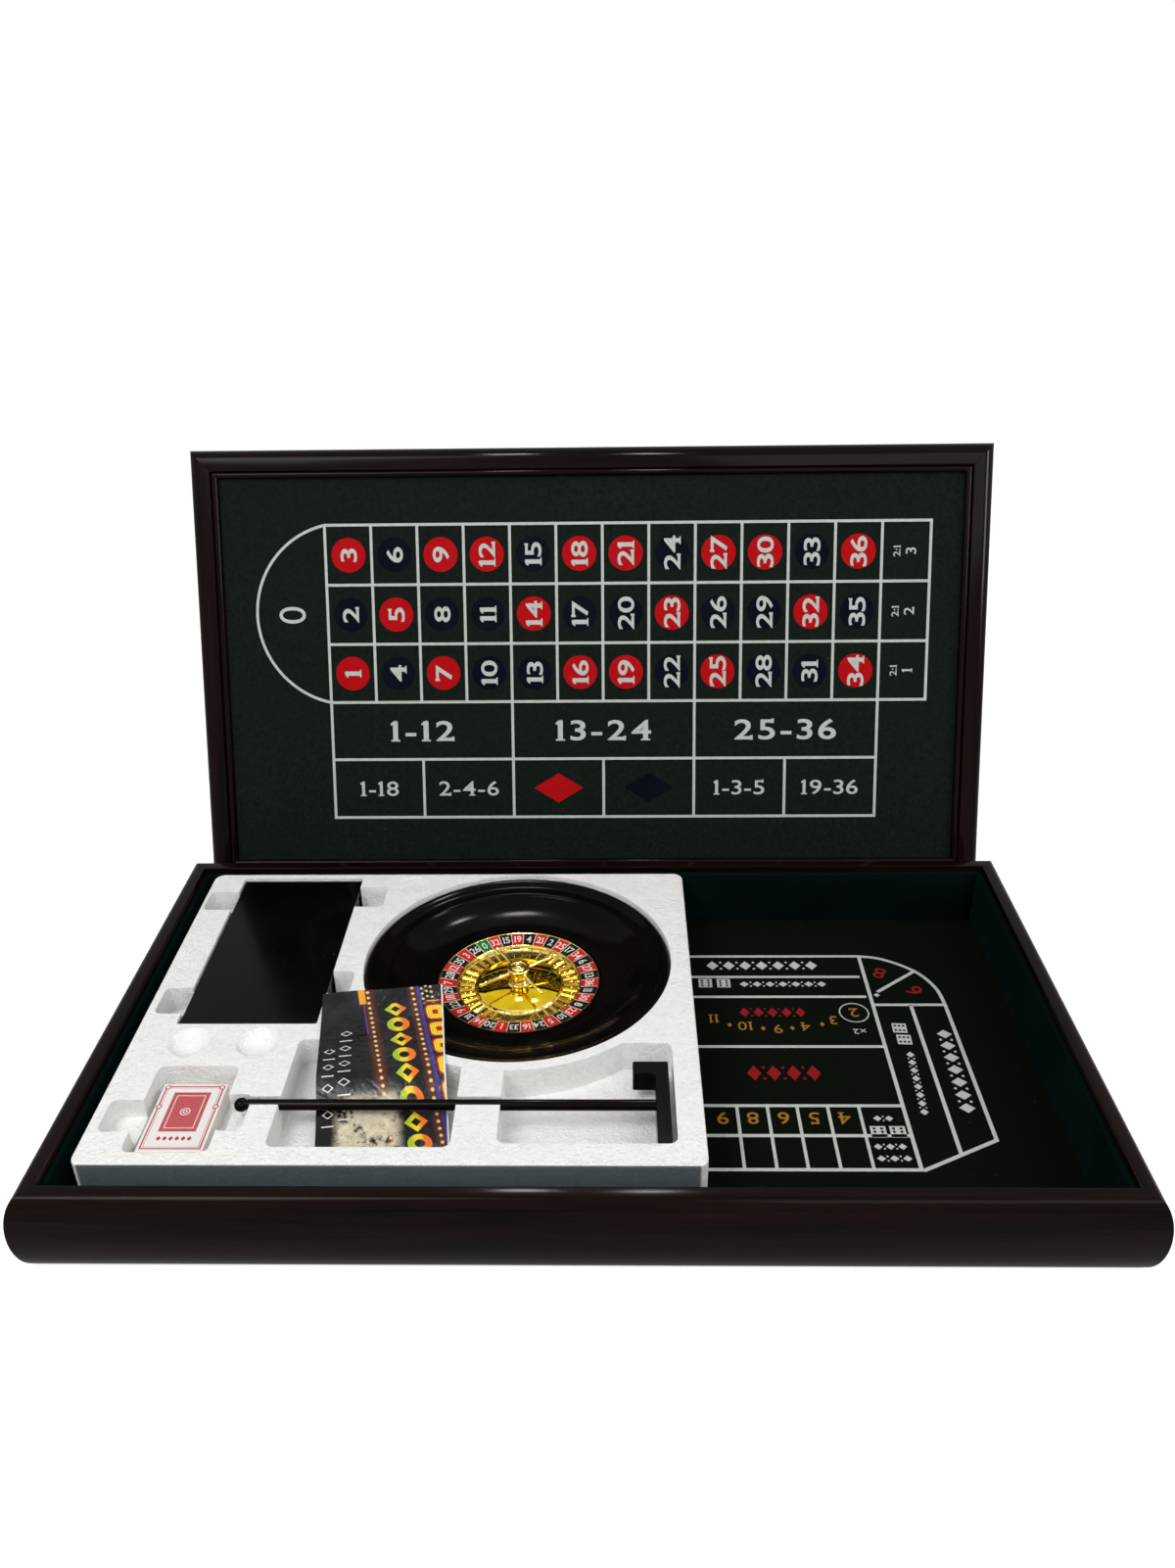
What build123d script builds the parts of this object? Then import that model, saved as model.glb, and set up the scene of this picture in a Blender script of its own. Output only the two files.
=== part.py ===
from build123d import *
import math
import os

os.makedirs("parts", exist_ok=True)

# Frame: origin at the centre of the case's underside on the table, +X to the right along
# the long side, +Y to the back where the lid is hinged, +Z up. All sizes are in mm.

# ---------------------------------------------------------------- driving sizes
RIM_LENGTH = 1010.0
RIM_WIDTH = 550.0
CASE_HEIGHT = 86.0
BULGE = 14.5
RIM_FLAT = 11.0
LID_THICKNESS = 30.0
LID_LEAN = 19.5
EDGE_ROUND = 0.8

BASE_THICKNESS = 7.0
BASE_REBATE = 6.0
CLOTH = 1.0
BAND = 8.0
PAD_FOOT = 6.5
PAD_MIDDLE = 6.8
PAD_TOP = 5.0

GLUE_FIT = 0.3
REST_GAP = 0.2
LID_GAP = 0.4
SLIDE_FIT = 1.2
RUNNING_FIT = 0.05

HALF_LENGTH = RIM_LENGTH / 2
HALF_WIDTH = RIM_WIDTH / 2
FLOOR = BASE_THICKNESS + CLOTH
UP = Vector(0, 0, 1)
NORMALS = {
    "front": Vector(0, -1, 0),
    "back": Vector(0, 1, 0),
    "left": Vector(-1, 0, 0),
    "right": Vector(1, 0, 0),
}
REACH = {"front": HALF_WIDTH, "back": HALF_WIDTH, "left": HALF_LENGTH, "right": HALF_LENGTH}
RUN = {"front": HALF_LENGTH, "back": HALF_LENGTH, "left": HALF_WIDTH, "right": HALF_WIDTH}


# ---------------------------------------------------------------- shared shapes
def save(shape, name):
    export_step(shape, "parts/" + name + ".step")


def block(x0, x1, y0, y1, z0, z1):
    size = (x1 - x0, y1 - y0, z1 - z0)
    middle = ((x0 + x1) / 2, (y0 + y1) / 2, (z0 + z1) / 2)
    return Pos(*middle) * Box(*size)


def rounded_block(x0, x1, y0, y1, z0, z1, radius):
    plan = RectangleRounded(x1 - x0, y1 - y0, radius)
    return Pos((x0 + x1) / 2, (y0 + y1) / 2, z0) * extrude(plan, amount=z1 - z0)


def rod_along(direction, centre, radius, length):
    turns = {"x": Rot(0, 90, 0), "y": Rot(90, 0, 0), "z": Rot(0, 0, 0)}
    return Pos(*centre) * turns[direction] * Cylinder(radius, length)


def turned(points, centre=(0, 0)):
    edge = Polyline(*[(r, 0, z) for r, z in points], close=True)
    solid = revolve(make_face(edge), Axis.Z)
    return Pos(centre[0], centre[1], 0) * solid


def side_face(face, side, height):
    normal = NORMALS[side]
    origin = normal * REACH[side] + UP * height
    plane = Plane(origin=origin, x_dir=normal, z_dir=normal.cross(UP))
    return plane * face


def mitre_wedge(side, low, high, outside=40.0, inside=70.0):
    normal = NORMALS[side]
    along = Vector(-normal.Y, normal.X, 0)
    corners = []
    for out, sign in ((outside, -1), (outside, 1), (-inside, 1), (-inside, -1)):
        corners.append(normal * (REACH[side] + out) + along * (sign * (RUN[side] + out)))
    plan = make_face(Polyline(*corners, close=True))
    return Pos(0, 0, low) * extrude(plan, amount=high - low, dir=(0, 0, 1))


def moulding(face, side, height, thickness):
    placed = side_face(face, side, height)
    bar = extrude(placed, amount=RUN[side] + 60, both=True)
    return bar & mitre_wedge(side, height - 1, height + thickness + 1)


def softened(face, corners, radius):
    chosen = [v for v in face.vertices() if any((v.center() - Vector(*c)).length < 0.01 for c in corners)]
    return fillet(chosen, radius)


SCREW_TIP = 3.0


def screw(radius, head_radius, length):
    taper = head_radius - radius
    points = [(0, 0), (head_radius, 0), (radius, -taper), (radius, SCREW_TIP - length), (0, -length)]
    return turned(points)


# ---------------------------------------------------------------- hinge line
STRAP_X = (-300.0, 300.0)
STRAP_WIDTH = 40.0
STRAP_THICK = 2.5
LEAF_GAP = 0.3
PIN_RADIUS = 2.2
KNUCKLE_RADIUS = 4.25
KNUCKLE_MIDDLE = 16.0
KNUCKLE_CLEAR = 0.4
LEAF_HEIGHT = 35.0
STRAP_TOP = 22.0
TABLE_CLEAR = 0.2
PIN_INSET = STRAP_THICK + LEAF_GAP / 2
LEAN = math.radians(LID_LEAN)
LID_BASE = CASE_HEIGHT + LID_GAP
PIN_Y = HALF_WIDTH + BULGE - PIN_INSET
PIN_RISE = TABLE_CLEAR + math.cos(LEAN) * PIN_INSET + math.sin(LEAN) * (LID_BASE + STRAP_TOP)
PIN_Z = PIN_RISE / (1 + math.sin(LEAN))
OPENING_TURN = 90 + LID_LEAN


def opened(shape):
    line = Axis((0, PIN_Y, PIN_Z), (1, 0, 0))
    return shape.rotate(line, -OPENING_TURN)


# ---------------------------------------------------------------- case rails
rail_arc = EllipticalCenterArc((0, CASE_HEIGHT / 2), BULGE, CASE_HEIGHT / 2, start_angle=-90, arc_size=180)
rail_line = Polyline(
    (0, CASE_HEIGHT),
    (-RIM_FLAT, CASE_HEIGHT),
    (-RIM_FLAT, BASE_THICKNESS),
    (-RIM_FLAT + BASE_REBATE, BASE_THICKNESS),
    (-RIM_FLAT + BASE_REBATE, 0),
    (0, 0),
)
rail_face = make_face(rail_arc + rail_line)
rail_face = softened(rail_face, [(-RIM_FLAT, CASE_HEIGHT, 0)], EDGE_ROUND)

SPLINE_THICK = 3.0
SPLINE_WIDTH = 12.0
SPLINE_LOW = 12.0
SPLINE_HIGH = 74.0


def corner_keys(offset, low, high, width, grow):
    keys = []
    for sx in (-1, 1):
        for sy in (-1, 1):
            key = Box(width + 2 * grow, SPLINE_THICK + 2 * grow, high - low + 2 * grow)
            turn = -45 * sx * sy
            place = Pos(sx * (HALF_LENGTH + offset), sy * (HALF_WIDTH + offset), (low + high) / 2)
            keys.append(place * Rot(0, 0, turn) * key)
    return keys


BASE_SCREW_RADIUS = 1.8
BASE_SCREW_HEAD = 3.6
BASE_SCREW_LENGTH = 26.0
BASE_SCREW_PITCH_X = 210.0
BASE_SCREW_PITCH_Y = 150.0
base_screw_spots = []
for bx in [step * BASE_SCREW_PITCH_X for step in (-2, -1, 0, 1, 2)]:
    for by in (-HALF_WIDTH + RIM_FLAT / 2 + BASE_REBATE / 2, HALF_WIDTH - RIM_FLAT / 2 - BASE_REBATE / 2):
        base_screw_spots.append((bx, by))
for by in [step * BASE_SCREW_PITCH_Y for step in (-1, 0, 1)]:
    for bx in (-HALF_LENGTH + RIM_FLAT / 2 + BASE_REBATE / 2, HALF_LENGTH - RIM_FLAT / 2 - BASE_REBATE / 2):
        base_screw_spots.append((bx, by))
base_screw = Rot(180, 0, 0) * screw(BASE_SCREW_RADIUS, BASE_SCREW_HEAD, BASE_SCREW_LENGTH)
base_screws = [Pos(sx, sy, 0) * base_screw for sx, sy in base_screw_spots]

case_keys = corner_keys(0.0, SPLINE_LOW, SPLINE_HIGH, SPLINE_WIDTH, 0.0)
case_slots = corner_keys(0.0, SPLINE_LOW, SPLINE_HIGH, SPLINE_WIDTH, 0.1)
rails = {side: moulding(rail_face, side, 0, CASE_HEIGHT) for side in NORMALS}

# Pockets in the back rail: a seat for each fixed leaf, room for the strap over it and a
# round hollow in which the knuckles turn.
for hx in STRAP_X:
    half = STRAP_WIDTH / 2 + LEAF_GAP
    seat_back = HALF_WIDTH + BULGE - 2 * STRAP_THICK - LEAF_GAP
    leaf_seat = block(hx - half, hx + half, seat_back, seat_back + 20, PIN_Z, PIN_Z + LEAF_HEIGHT + LEAF_GAP)
    strap_back = HALF_WIDTH + BULGE - STRAP_THICK - LEAF_GAP
    strap_way = block(hx - half, hx + half, strap_back, strap_back + 20, PIN_Z, CASE_HEIGHT + 1)
    knuckle_way = rod_along("x", (hx, PIN_Y, PIN_Z), KNUCKLE_RADIUS + 0.75, STRAP_WIDTH + 2.4)
    rails["back"] = rails["back"] - leaf_seat - strap_way - knuckle_way

LEAF_SCREW_RADIUS = 1.6
LEAF_SCREW_HEAD = 3.3
LEAF_SCREW_LENGTH = 16.0
LEAF_SCREW_SIDE = 12.0
LEAF_SCREW_RISE = (14.0, 28.0)
leaf_face = HALF_WIDTH + BULGE - STRAP_THICK - LEAF_GAP - 0.05
leaf_screw = Rot(-90, 0, 0) * screw(LEAF_SCREW_RADIUS, LEAF_SCREW_HEAD, LEAF_SCREW_LENGTH)
leaf_screws = []
for hx in STRAP_X:
    for dx in (-LEAF_SCREW_SIDE, LEAF_SCREW_SIDE):
        for dz in LEAF_SCREW_RISE:
            leaf_screws.append(Pos(hx + dx, leaf_face, PIN_Z + dz) * leaf_screw)

for cut in leaf_screws:
    rails["back"] = rails["back"] - cut
for side in NORMALS:
    for cut in case_slots + base_screws:
        if cut.bounding_box().overlaps(rails[side].bounding_box()):
            rails[side] = rails[side] - cut
    save(rails[side], "case_rail_" + side)
save(Compound(children=case_keys), "case_corner_splines")
save(Compound(children=base_screws), "base_screws")
save(Compound(children=leaf_screws), "case_hinge_screws")

# ---------------------------------------------------------------- base and its cloth
board_x = HALF_LENGTH - RIM_FLAT + BASE_REBATE - GLUE_FIT
board_y = HALF_WIDTH - RIM_FLAT + BASE_REBATE - GLUE_FIT
base_board = block(-board_x, board_x, -board_y, board_y, 0, BASE_THICKNESS)
for cut in base_screws:
    base_board = base_board - cut
save(base_board, "base_board")
inner_x = HALF_LENGTH - RIM_FLAT
inner_y = HALF_WIDTH - RIM_FLAT
cloth_x = inner_x - GLUE_FIT
cloth_y = inner_y - GLUE_FIT
save(block(-cloth_x, cloth_x, -cloth_y, cloth_y, BASE_THICKNESS, FLOOR), "floor_cloth")

# ---------------------------------------------------------------- padded wall linings
pad_top = CASE_HEIGHT - BAND
pad_front = Spline(
    (-RIM_FLAT - PAD_TOP, pad_top),
    (-RIM_FLAT - PAD_MIDDLE, (FLOOR + pad_top) / 2),
    (-RIM_FLAT - PAD_FOOT, FLOOR),
)
pad_back = Polyline(
    (-RIM_FLAT - PAD_FOOT, FLOOR),
    (-RIM_FLAT, FLOOR),
    (-RIM_FLAT, pad_top),
    (-RIM_FLAT - PAD_TOP, pad_top),
)
pad_face = make_face(pad_front + pad_back)
for side in NORMALS:
    save(moulding(pad_face, side, 0, CASE_HEIGHT), "wall_pad_" + side)


# ---------------------------------------------------------------- hinge metalwork
def knuckle(hx, low, high, bore):
    tube = rod_along("x", (hx + (low + high) / 2, PIN_Y, PIN_Z), KNUCKLE_RADIUS, high - low)
    return tube - rod_along("x", (hx, PIN_Y, PIN_Z), bore, STRAP_WIDTH + 10)


plate_start = PIN_Z + KNUCKLE_RADIUS + KNUCKLE_CLEAR
middle = KNUCKLE_MIDDLE / 2
outer = STRAP_WIDTH / 2
bolt_hole = Cylinder(PIN_RADIUS, 400, rotation=(0, 90, 0))
LID_SCREW_T = 15.0
LID_SCREW_SIDE = 13.0
LID_SCREW_LENGTH = 14.0
strap_screws = []
strap_screw = Rot(-90, 0, 0) * screw(LEAF_SCREW_RADIUS, LEAF_SCREW_HEAD, LID_SCREW_LENGTH)
for hx in STRAP_X:
    for dx in (-LID_SCREW_SIDE, 0, LID_SCREW_SIDE):
        strap_screws.append(Pos(hx + dx, HALF_WIDTH + BULGE, LID_BASE + LID_SCREW_T) * strap_screw)

for hx, hand in zip(STRAP_X, ("left", "right")):
    leaf_y0 = PIN_Y - PIN_INSET
    leaf_y1 = leaf_y0 + STRAP_THICK
    leaf = block(hx - outer, hx + outer, leaf_y0, leaf_y1, plate_start, PIN_Z + LEAF_HEIGHT)
    for low, high in ((-outer, -middle - LEAF_GAP), (middle + LEAF_GAP, outer)):
        tongue = block(hx + low, hx + high, leaf_y0, leaf_y1, PIN_Z, plate_start)
        tongue = tongue - rod_along("x", (hx, PIN_Y, PIN_Z), PIN_RADIUS, STRAP_WIDTH + 10)
        leaf = leaf + tongue + knuckle(hx, low, high, PIN_RADIUS)
    for cut in leaf_screws:
        if abs(cut.center().X - hx) < outer:
            leaf = leaf - cut
    save(leaf, "case_hinge_leaf_" + hand)
    pin = rod_along("x", (hx, PIN_Y, PIN_Z), PIN_RADIUS, STRAP_WIDTH)
    heads = [rod_along("x", (hx + e * (outer + 0.4), PIN_Y, PIN_Z), PIN_RADIUS + 0.8, 0.8) for e in (-1, 1)]
    save(pin + heads[0] + heads[1], "hinge_pin_" + hand)
    strap_y0 = PIN_Y + LEAF_GAP / 2
    strap_y1 = strap_y0 + STRAP_THICK
    strap = block(hx - outer, hx + outer, strap_y0, strap_y1, plate_start, LID_BASE + STRAP_TOP)
    tongue = block(hx - middle, hx + middle, strap_y0, strap_y1, PIN_Z, plate_start)
    tongue = tongue - rod_along("x", (hx, PIN_Y, PIN_Z), PIN_RADIUS + RUNNING_FIT, STRAP_WIDTH + 10)
    strap = strap + tongue + knuckle(hx, -middle, middle, PIN_RADIUS + RUNNING_FIT)
    for cut in strap_screws:
        if abs(cut.center().X - hx) < outer:
            strap = strap - cut
    save(opened(strap), "lid_hinge_strap_" + hand)

# ---------------------------------------------------------------- lid
LID_FLAT = 13.0
LID_STEP = 11.0
PANEL = 6.0
PANEL_GROOVE = 6.0
LID_LIP = 30.0
LIP_ROUND = 8.0
BEAD_WIDTH = 8.7
BEAD_TOP = 2.0
cloth_t = 10.0
panel_t0 = cloth_t + CLOTH
panel_t1 = panel_t0 + PANEL

lid_arc = EllipticalCenterArc((0, LID_THICKNESS / 2), BULGE, LID_THICKNESS / 2, start_angle=-90, arc_size=180)
lip_arc = RadiusArc((-LID_LIP + LIP_ROUND, LID_THICKNESS), (-LID_LIP, LID_THICKNESS - LIP_ROUND), -LIP_ROUND)
lid_top = Polyline((0, LID_THICKNESS), (-LID_LIP + LIP_ROUND, LID_THICKNESS))
lid_inside = Polyline(
    (-LID_LIP, LID_THICKNESS - LIP_ROUND),
    (-LID_LIP, panel_t1),
    (-PANEL_GROOVE, panel_t1),
    (-PANEL_GROOVE, panel_t0),
    (-LID_FLAT, panel_t0),
    (-LID_FLAT, 0),
    (0, 0),
)
lid_face = make_face(lid_arc + lid_top + lip_arc + lid_inside)
lid_face = softened(lid_face, [(-LID_FLAT, 0, 0)], EDGE_ROUND)
lid_rails = {side: moulding(lid_face, side, LID_BASE, LID_THICKNESS) for side in NORMALS}

for hx in STRAP_X:
    half = STRAP_WIDTH / 2 + LEAF_GAP
    strap_back = HALF_WIDTH + BULGE - STRAP_THICK
    top = LID_BASE + STRAP_TOP + LEAF_GAP
    strap_seat = block(hx - half, hx + half, strap_back, strap_back + 20, CASE_HEIGHT - 5, top)
    lid_rails["back"] = lid_rails["back"] - strap_seat
for cut in strap_screws:
    lid_rails["back"] = lid_rails["back"] - cut

lid_keys = corner_keys(4.0, LID_BASE + 4, LID_BASE + 26, 10.0, 0.0)
lid_slots = corner_keys(4.0, LID_BASE + 4, LID_BASE + 26, 10.0, 0.1)
for side in NORMALS:
    for cut in lid_slots:
        if cut.bounding_box().overlaps(lid_rails[side].bounding_box()):
            lid_rails[side] = lid_rails[side] - cut
    save(opened(lid_rails[side]), "lid_rail_" + side)
save(opened(Compound(children=lid_keys)), "lid_corner_splines")
save(opened(Compound(children=strap_screws)), "lid_hinge_screws")

bead_r = BEAD_WIDTH / 2
bead_mid = -LID_FLAT - bead_r
bead_arc = CenterArc((bead_mid, BEAD_TOP + bead_r), bead_r, 180, 180)
bead_line = Polyline(
    (bead_mid + bead_r, BEAD_TOP + bead_r),
    (bead_mid + bead_r, cloth_t),
    (bead_mid - bead_r, cloth_t),
    (bead_mid - bead_r, BEAD_TOP + bead_r),
)
bead_face = make_face(bead_arc + bead_line)
for side in NORMALS:
    save(opened(moulding(bead_face, side, LID_BASE, LID_THICKNESS)), "lid_bead_" + side)

lid_cloth_x = HALF_LENGTH - LID_FLAT - GLUE_FIT
lid_cloth_y = HALF_WIDTH - LID_FLAT - GLUE_FIT
cloth_z0 = LID_BASE + cloth_t
lid_cloth = block(-lid_cloth_x, lid_cloth_x, -lid_cloth_y, lid_cloth_y, cloth_z0, cloth_z0 + CLOTH)
save(opened(lid_cloth), "lid_cloth")
panel_x = HALF_LENGTH - PANEL_GROOVE - GLUE_FIT
panel_y = HALF_WIDTH - PANEL_GROOVE - GLUE_FIT
lid_panel = block(-panel_x, panel_x, -panel_y, panel_y, cloth_z0 + CLOTH, cloth_z0 + CLOTH + PANEL)
save(opened(lid_panel), "lid_panel")

# ---------------------------------------------------------------- foam tray
# The tray and what lies in it are drawn about one datum. They stand in the case together,
# with the tray's left and back faces set from the inner faces of the case's rails.
FOAM_X = (-477.0, 115.0)
FOAM_Y = (-236.0, 256.7)
TRAY_LEFT_FIT = 17.0
TRAY_BACK_FIT = 0.5
tray_place = Pos(
    -inner_x + TRAY_LEFT_FIT - FOAM_X[0],
    inner_y - PAD_MIDDLE - TRAY_BACK_FIT - FOAM_Y[1],
    0,
)


def save_in_tray(shape, name):
    save(tray_place * shape, name)


FOAM_BOTTOM = FLOOR + REST_GAP
FOAM_TOP = 81.0
WHEEL = (-81.0, 79.3)
BOWL_RADIUS = 173.5
BOWL_FOOT = 14.2
CHIP_X = (-437.0, -289.0)
CHIP_Y = (-34.0, 246.0)
CHIP_BOTTOM = 15.2
CHIP_TOP = 78.0
CARD_X = (-427.0, -362.0)
CARD_Y = (-206.0, -114.0)
CARD_Z = (50.0, 68.5)
ROD_RADIUS = 5.5
ROD_Y = -150.5
ROD_Z = 75.2
HEAD_X = (69.0, 83.0)
HEAD_Y = (-205.5, -93.0)
HEAD_Z = (58.0, 80.6)
BOOKLET_FLOOR = 48.0
RAKE_FLOOR = 45.0
CORNER = 8.0
DEEP = FOAM_TOP + 5

foam = rounded_block(FOAM_X[0], FOAM_X[1], FOAM_Y[0], FOAM_Y[1], FOAM_BOTTOM, FOAM_TOP, 12.0)
foam = fillet(foam.edges().group_by(Axis.Z)[-1], 1.6)
cavity = rod_along("z", (WHEEL[0], WHEEL[1], (DEEP + BOWL_FOOT - REST_GAP) / 2), BOWL_RADIUS + SLIDE_FIT,
                   DEEP - BOWL_FOOT + REST_GAP)
foam = foam - cavity
foam = foam - rounded_block(CHIP_X[0] - SLIDE_FIT, CHIP_X[1] + SLIDE_FIT, CHIP_Y[0] - SLIDE_FIT,
                            CHIP_Y[1] + SLIDE_FIT, CHIP_BOTTOM - REST_GAP, DEEP, 2.0)
NOTCH_FLOOR = 50.0
chip_notches = (
    (-472.5, CHIP_X[0] + 2, 178.0, 217.0),
    (-468.0, CHIP_X[0] + 2, -18.0, 26.0),
    (CHIP_X[1] - 2, -253.0, 184.0, 227.0),
    (CHIP_X[1] - 2, -263.0, 16.0, 56.0),
)
for nx0, nx1, ny0, ny1 in chip_notches:
    foam = foam - rounded_block(nx0, nx1, ny0, ny1, NOTCH_FLOOR, DEEP, 7.0)
foam = foam - rounded_block(-434.0, -352.0, -219.0, -101.0, CARD_Z[0] - REST_GAP, DEEP, CORNER)
CARD_NOTCH_FLOOR = 58.0
foam = foam - rounded_block(-466.0, -430.0, -193.0, -150.0, CARD_NOTCH_FLOOR, DEEP, CORNER)
foam = foam - rounded_block(-356.0, -328.0, -191.0, -142.0, CARD_NOTCH_FLOOR, DEEP, CORNER)

# Two cups, each a shallow part of a ball, and two moulded marks near the back edge
CUP_RADIUS = 22.5
CUP_BALL = 28.0
for cx in (-415.0, -343.0):
    rise = math.sqrt(CUP_BALL ** 2 - CUP_RADIUS ** 2)
    foam = foam - Pos(cx, -64.0, FOAM_TOP + rise) * Sphere(CUP_BALL)
for cx in (-221.0, 73.0):
    foam = foam - rod_along("z", (cx, 233.0, FOAM_TOP), 17.5, 1.6)

# The booklet's pocket and the rake's pocket keep a curved wall round the wheel
BOWL_WALL = 12.0
wheel_wall = rod_along("z", (WHEEL[0], WHEEL[1], 60), BOWL_RADIUS + SLIDE_FIT + BOWL_WALL, 200)
booklet_pocket = rounded_block(-300.0, -126.0, -212.0, -60.0, BOOKLET_FLOOR, DEEP, CORNER)
rake_pocket = rounded_block(-83.0, 88.0, -207.0, -66.0, RAKE_FLOOR, DEEP, CORNER)
foam = foam - (booklet_pocket - wheel_wall) - (rake_pocket - wheel_wall)
ROD_GROOVE = ROD_RADIUS + REST_GAP
groove = rod_along("x", (-141.0, ROD_Y, ROD_Z), ROD_GROOVE, 390.0)
groove = groove + block(-336.0, 54.0, ROD_Y - ROD_GROOVE, ROD_Y + ROD_GROOVE, ROD_Z, DEEP)
foam = foam - groove
save_in_tray(foam, "foam_tray")

# ---------------------------------------------------------------- chip box
BOX_WALL = 5.0
BOX_REVEAL = 1.0
BOX_LID = 6.0
DIVIDER = 3.0
DIVIDER_HEIGHT = 30.0
LIP = 4.0
CHIP_RADIUS = 19.5
box_x0 = CHIP_X[0] + BOX_REVEAL
box_x1 = CHIP_X[1] - BOX_REVEAL
box_y0 = CHIP_Y[0] + BOX_REVEAL
box_y1 = CHIP_Y[1] - BOX_REVEAL
box_rim = CHIP_TOP - BOX_LID - REST_GAP
chip_base = block(box_x0, box_x1, box_y0, box_y1, CHIP_BOTTOM, box_rim)
well_x0 = box_x0 + BOX_WALL
well_x1 = box_x1 - BOX_WALL
well_y0 = box_y0 + BOX_WALL
well_y1 = box_y1 - BOX_WALL
well_floor = CHIP_BOTTOM + BOX_WALL
chip_base = chip_base - block(well_x0, well_x1, well_y0, well_y1, well_floor, DEEP)
save_in_tray(chip_base, "chip_box_base")
lane = (well_x1 - well_x0 - 2 * DIVIDER) / 3
dividers = []
for i in (1, 2):
    left = well_x0 + i * lane + (i - 1) * DIVIDER
    dividers.append(block(left, left + DIVIDER, well_y0, well_y1, well_floor, well_floor + DIVIDER_HEIGHT))
save_in_tray(Compound(children=dividers), "chip_box_dividers")
chip_lid = block(CHIP_X[0], CHIP_X[1], CHIP_Y[0], CHIP_Y[1], CHIP_TOP - BOX_LID, CHIP_TOP)
chip_lid = chamfer(chip_lid.edges().group_by(Axis.Z)[-1], EDGE_ROUND)
lip_x0 = well_x0 + SLIDE_FIT / 2
lip_x1 = well_x1 - SLIDE_FIT / 2
lip_y0 = well_y0 + SLIDE_FIT / 2
lip_y1 = well_y1 - SLIDE_FIT / 2
lip_low = CHIP_TOP - BOX_LID - LIP
lip_ring = block(lip_x0, lip_x1, lip_y0, lip_y1, lip_low, CHIP_TOP - BOX_LID)
lip_ring = lip_ring - block(lip_x0 + 4, lip_x1 - 4, lip_y0 + 4, lip_y1 - 4, lip_low - 1, CHIP_TOP - BOX_LID)
save_in_tray(chip_lid + lip_ring, "chip_box_lid")

CHIP_STACK = 86.0
stack_gap = (well_y1 - well_y0 - 3 * CHIP_STACK) / 4
for index, colour in enumerate(("red", "blue", "white")):
    stacks = []
    for row in range(3):
        slot_number = (index + row) % 3
        sx = well_x0 + lane / 2 + row * (lane + DIVIDER)
        sy = well_y0 + stack_gap + CHIP_STACK / 2 + slot_number * (CHIP_STACK + stack_gap)
        stacks.append(rod_along("y", (sx, sy, well_floor + REST_GAP + CHIP_RADIUS), CHIP_RADIUS, CHIP_STACK))
    save(Compound(children=stacks), "chips_" + colour)

# ---------------------------------------------------------------- card pack
CARTON = 0.5
carton = block(CARD_X[0], CARD_X[1], CARD_Y[0], CARD_Y[1], CARD_Z[0], CARD_Z[1])
deck_space = block(CARD_X[0] + CARTON, CARD_X[1] - CARTON, CARD_Y[0] + CARTON, CARD_Y[1] - CARTON,
                   CARD_Z[0] + CARTON, CARD_Z[1] - CARTON)
save_in_tray(carton - deck_space, "card_carton")
deck = block(CARD_X[0] + 1.0, CARD_X[1] - 1.0, CARD_Y[0] + 2.0, CARD_Y[1] - 2.0, CARD_Z[0] + CARTON,
             CARD_Z[1] - 1.2)
save_in_tray(deck, "card_deck")

# ---------------------------------------------------------------- wheel bowl and its spindle
WELL_RADIUS = 95.0
WELL_FLOOR = 34.0
WELL_LIP = 50.2
BOWL_TOP = 76.8
SHELL = 4.0
SPINDLE_RADIUS = 3.0
SPINDLE_Z = (24.0, 56.0)
bowl_inside = Spline(
    (WELL_RADIUS, 0, WELL_LIP),
    (112.0, 0, 52.6),
    (130.0, 0, 58.2),
    (147.0, 0, 67.8),
)
bowl_lip = Spline(
    (153.0, 0, 70.6),
    (160.0, 0, 72.0),
    (165.0, 0, 75.2),
    (169.2, 0, BOWL_TOP),
    (172.4, 0, 75.4),
    (BOWL_RADIUS, 0, 71.6),
    tangents=((1, 0, 0.1), (0, 0, -1)),
)
bowl_ridge = Polyline((147.0, 0, 67.8), (148.6, 0, 70.2), (153.0, 0, 70.6))
bowl_under = Spline(
    (171.0, 0, 69.0),
    (162.0, 0, 68.2),
    (148.0, 0, 62.8),
    (130.0, 0, 53.4),
    (112.0, 0, 47.6),
    (WELL_RADIUS + SHELL, 0, 45.4),
)
bowl_edge = Polyline((BOWL_RADIUS, 0, 71.6), (BOWL_RADIUS, 0, 69.0), (171.0, 0, 69.0))
bowl_foot = Polyline(
    (WELL_RADIUS + SHELL, 0, 45.4),
    (WELL_RADIUS + SHELL, 0, BOWL_FOOT),
    (WELL_RADIUS, 0, BOWL_FOOT),
    (WELL_RADIUS, 0, WELL_FLOOR - SHELL),
    (13.0, 0, WELL_FLOOR - SHELL),
    (11.0, 0, SPINDLE_Z[0] - SHELL),
    (0, 0, SPINDLE_Z[0] - SHELL),
    (0, 0, SPINDLE_Z[0]),
    (SPINDLE_RADIUS, 0, SPINDLE_Z[0]),
    (SPINDLE_RADIUS, 0, WELL_FLOOR + 1.6),
    (9.0, 0, WELL_FLOOR + 1.6),
    (10.6, 0, WELL_FLOOR),
    (WELL_RADIUS, 0, WELL_FLOOR),
    (WELL_RADIUS, 0, WELL_LIP),
)
bowl_outline = bowl_inside + bowl_ridge + bowl_lip + bowl_edge + bowl_under + bowl_foot
bowl = Pos(WHEEL[0], WHEEL[1], 0) * revolve(make_face(bowl_outline), Axis.Z)
save_in_tray(bowl, "wheel_bowl")
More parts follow.
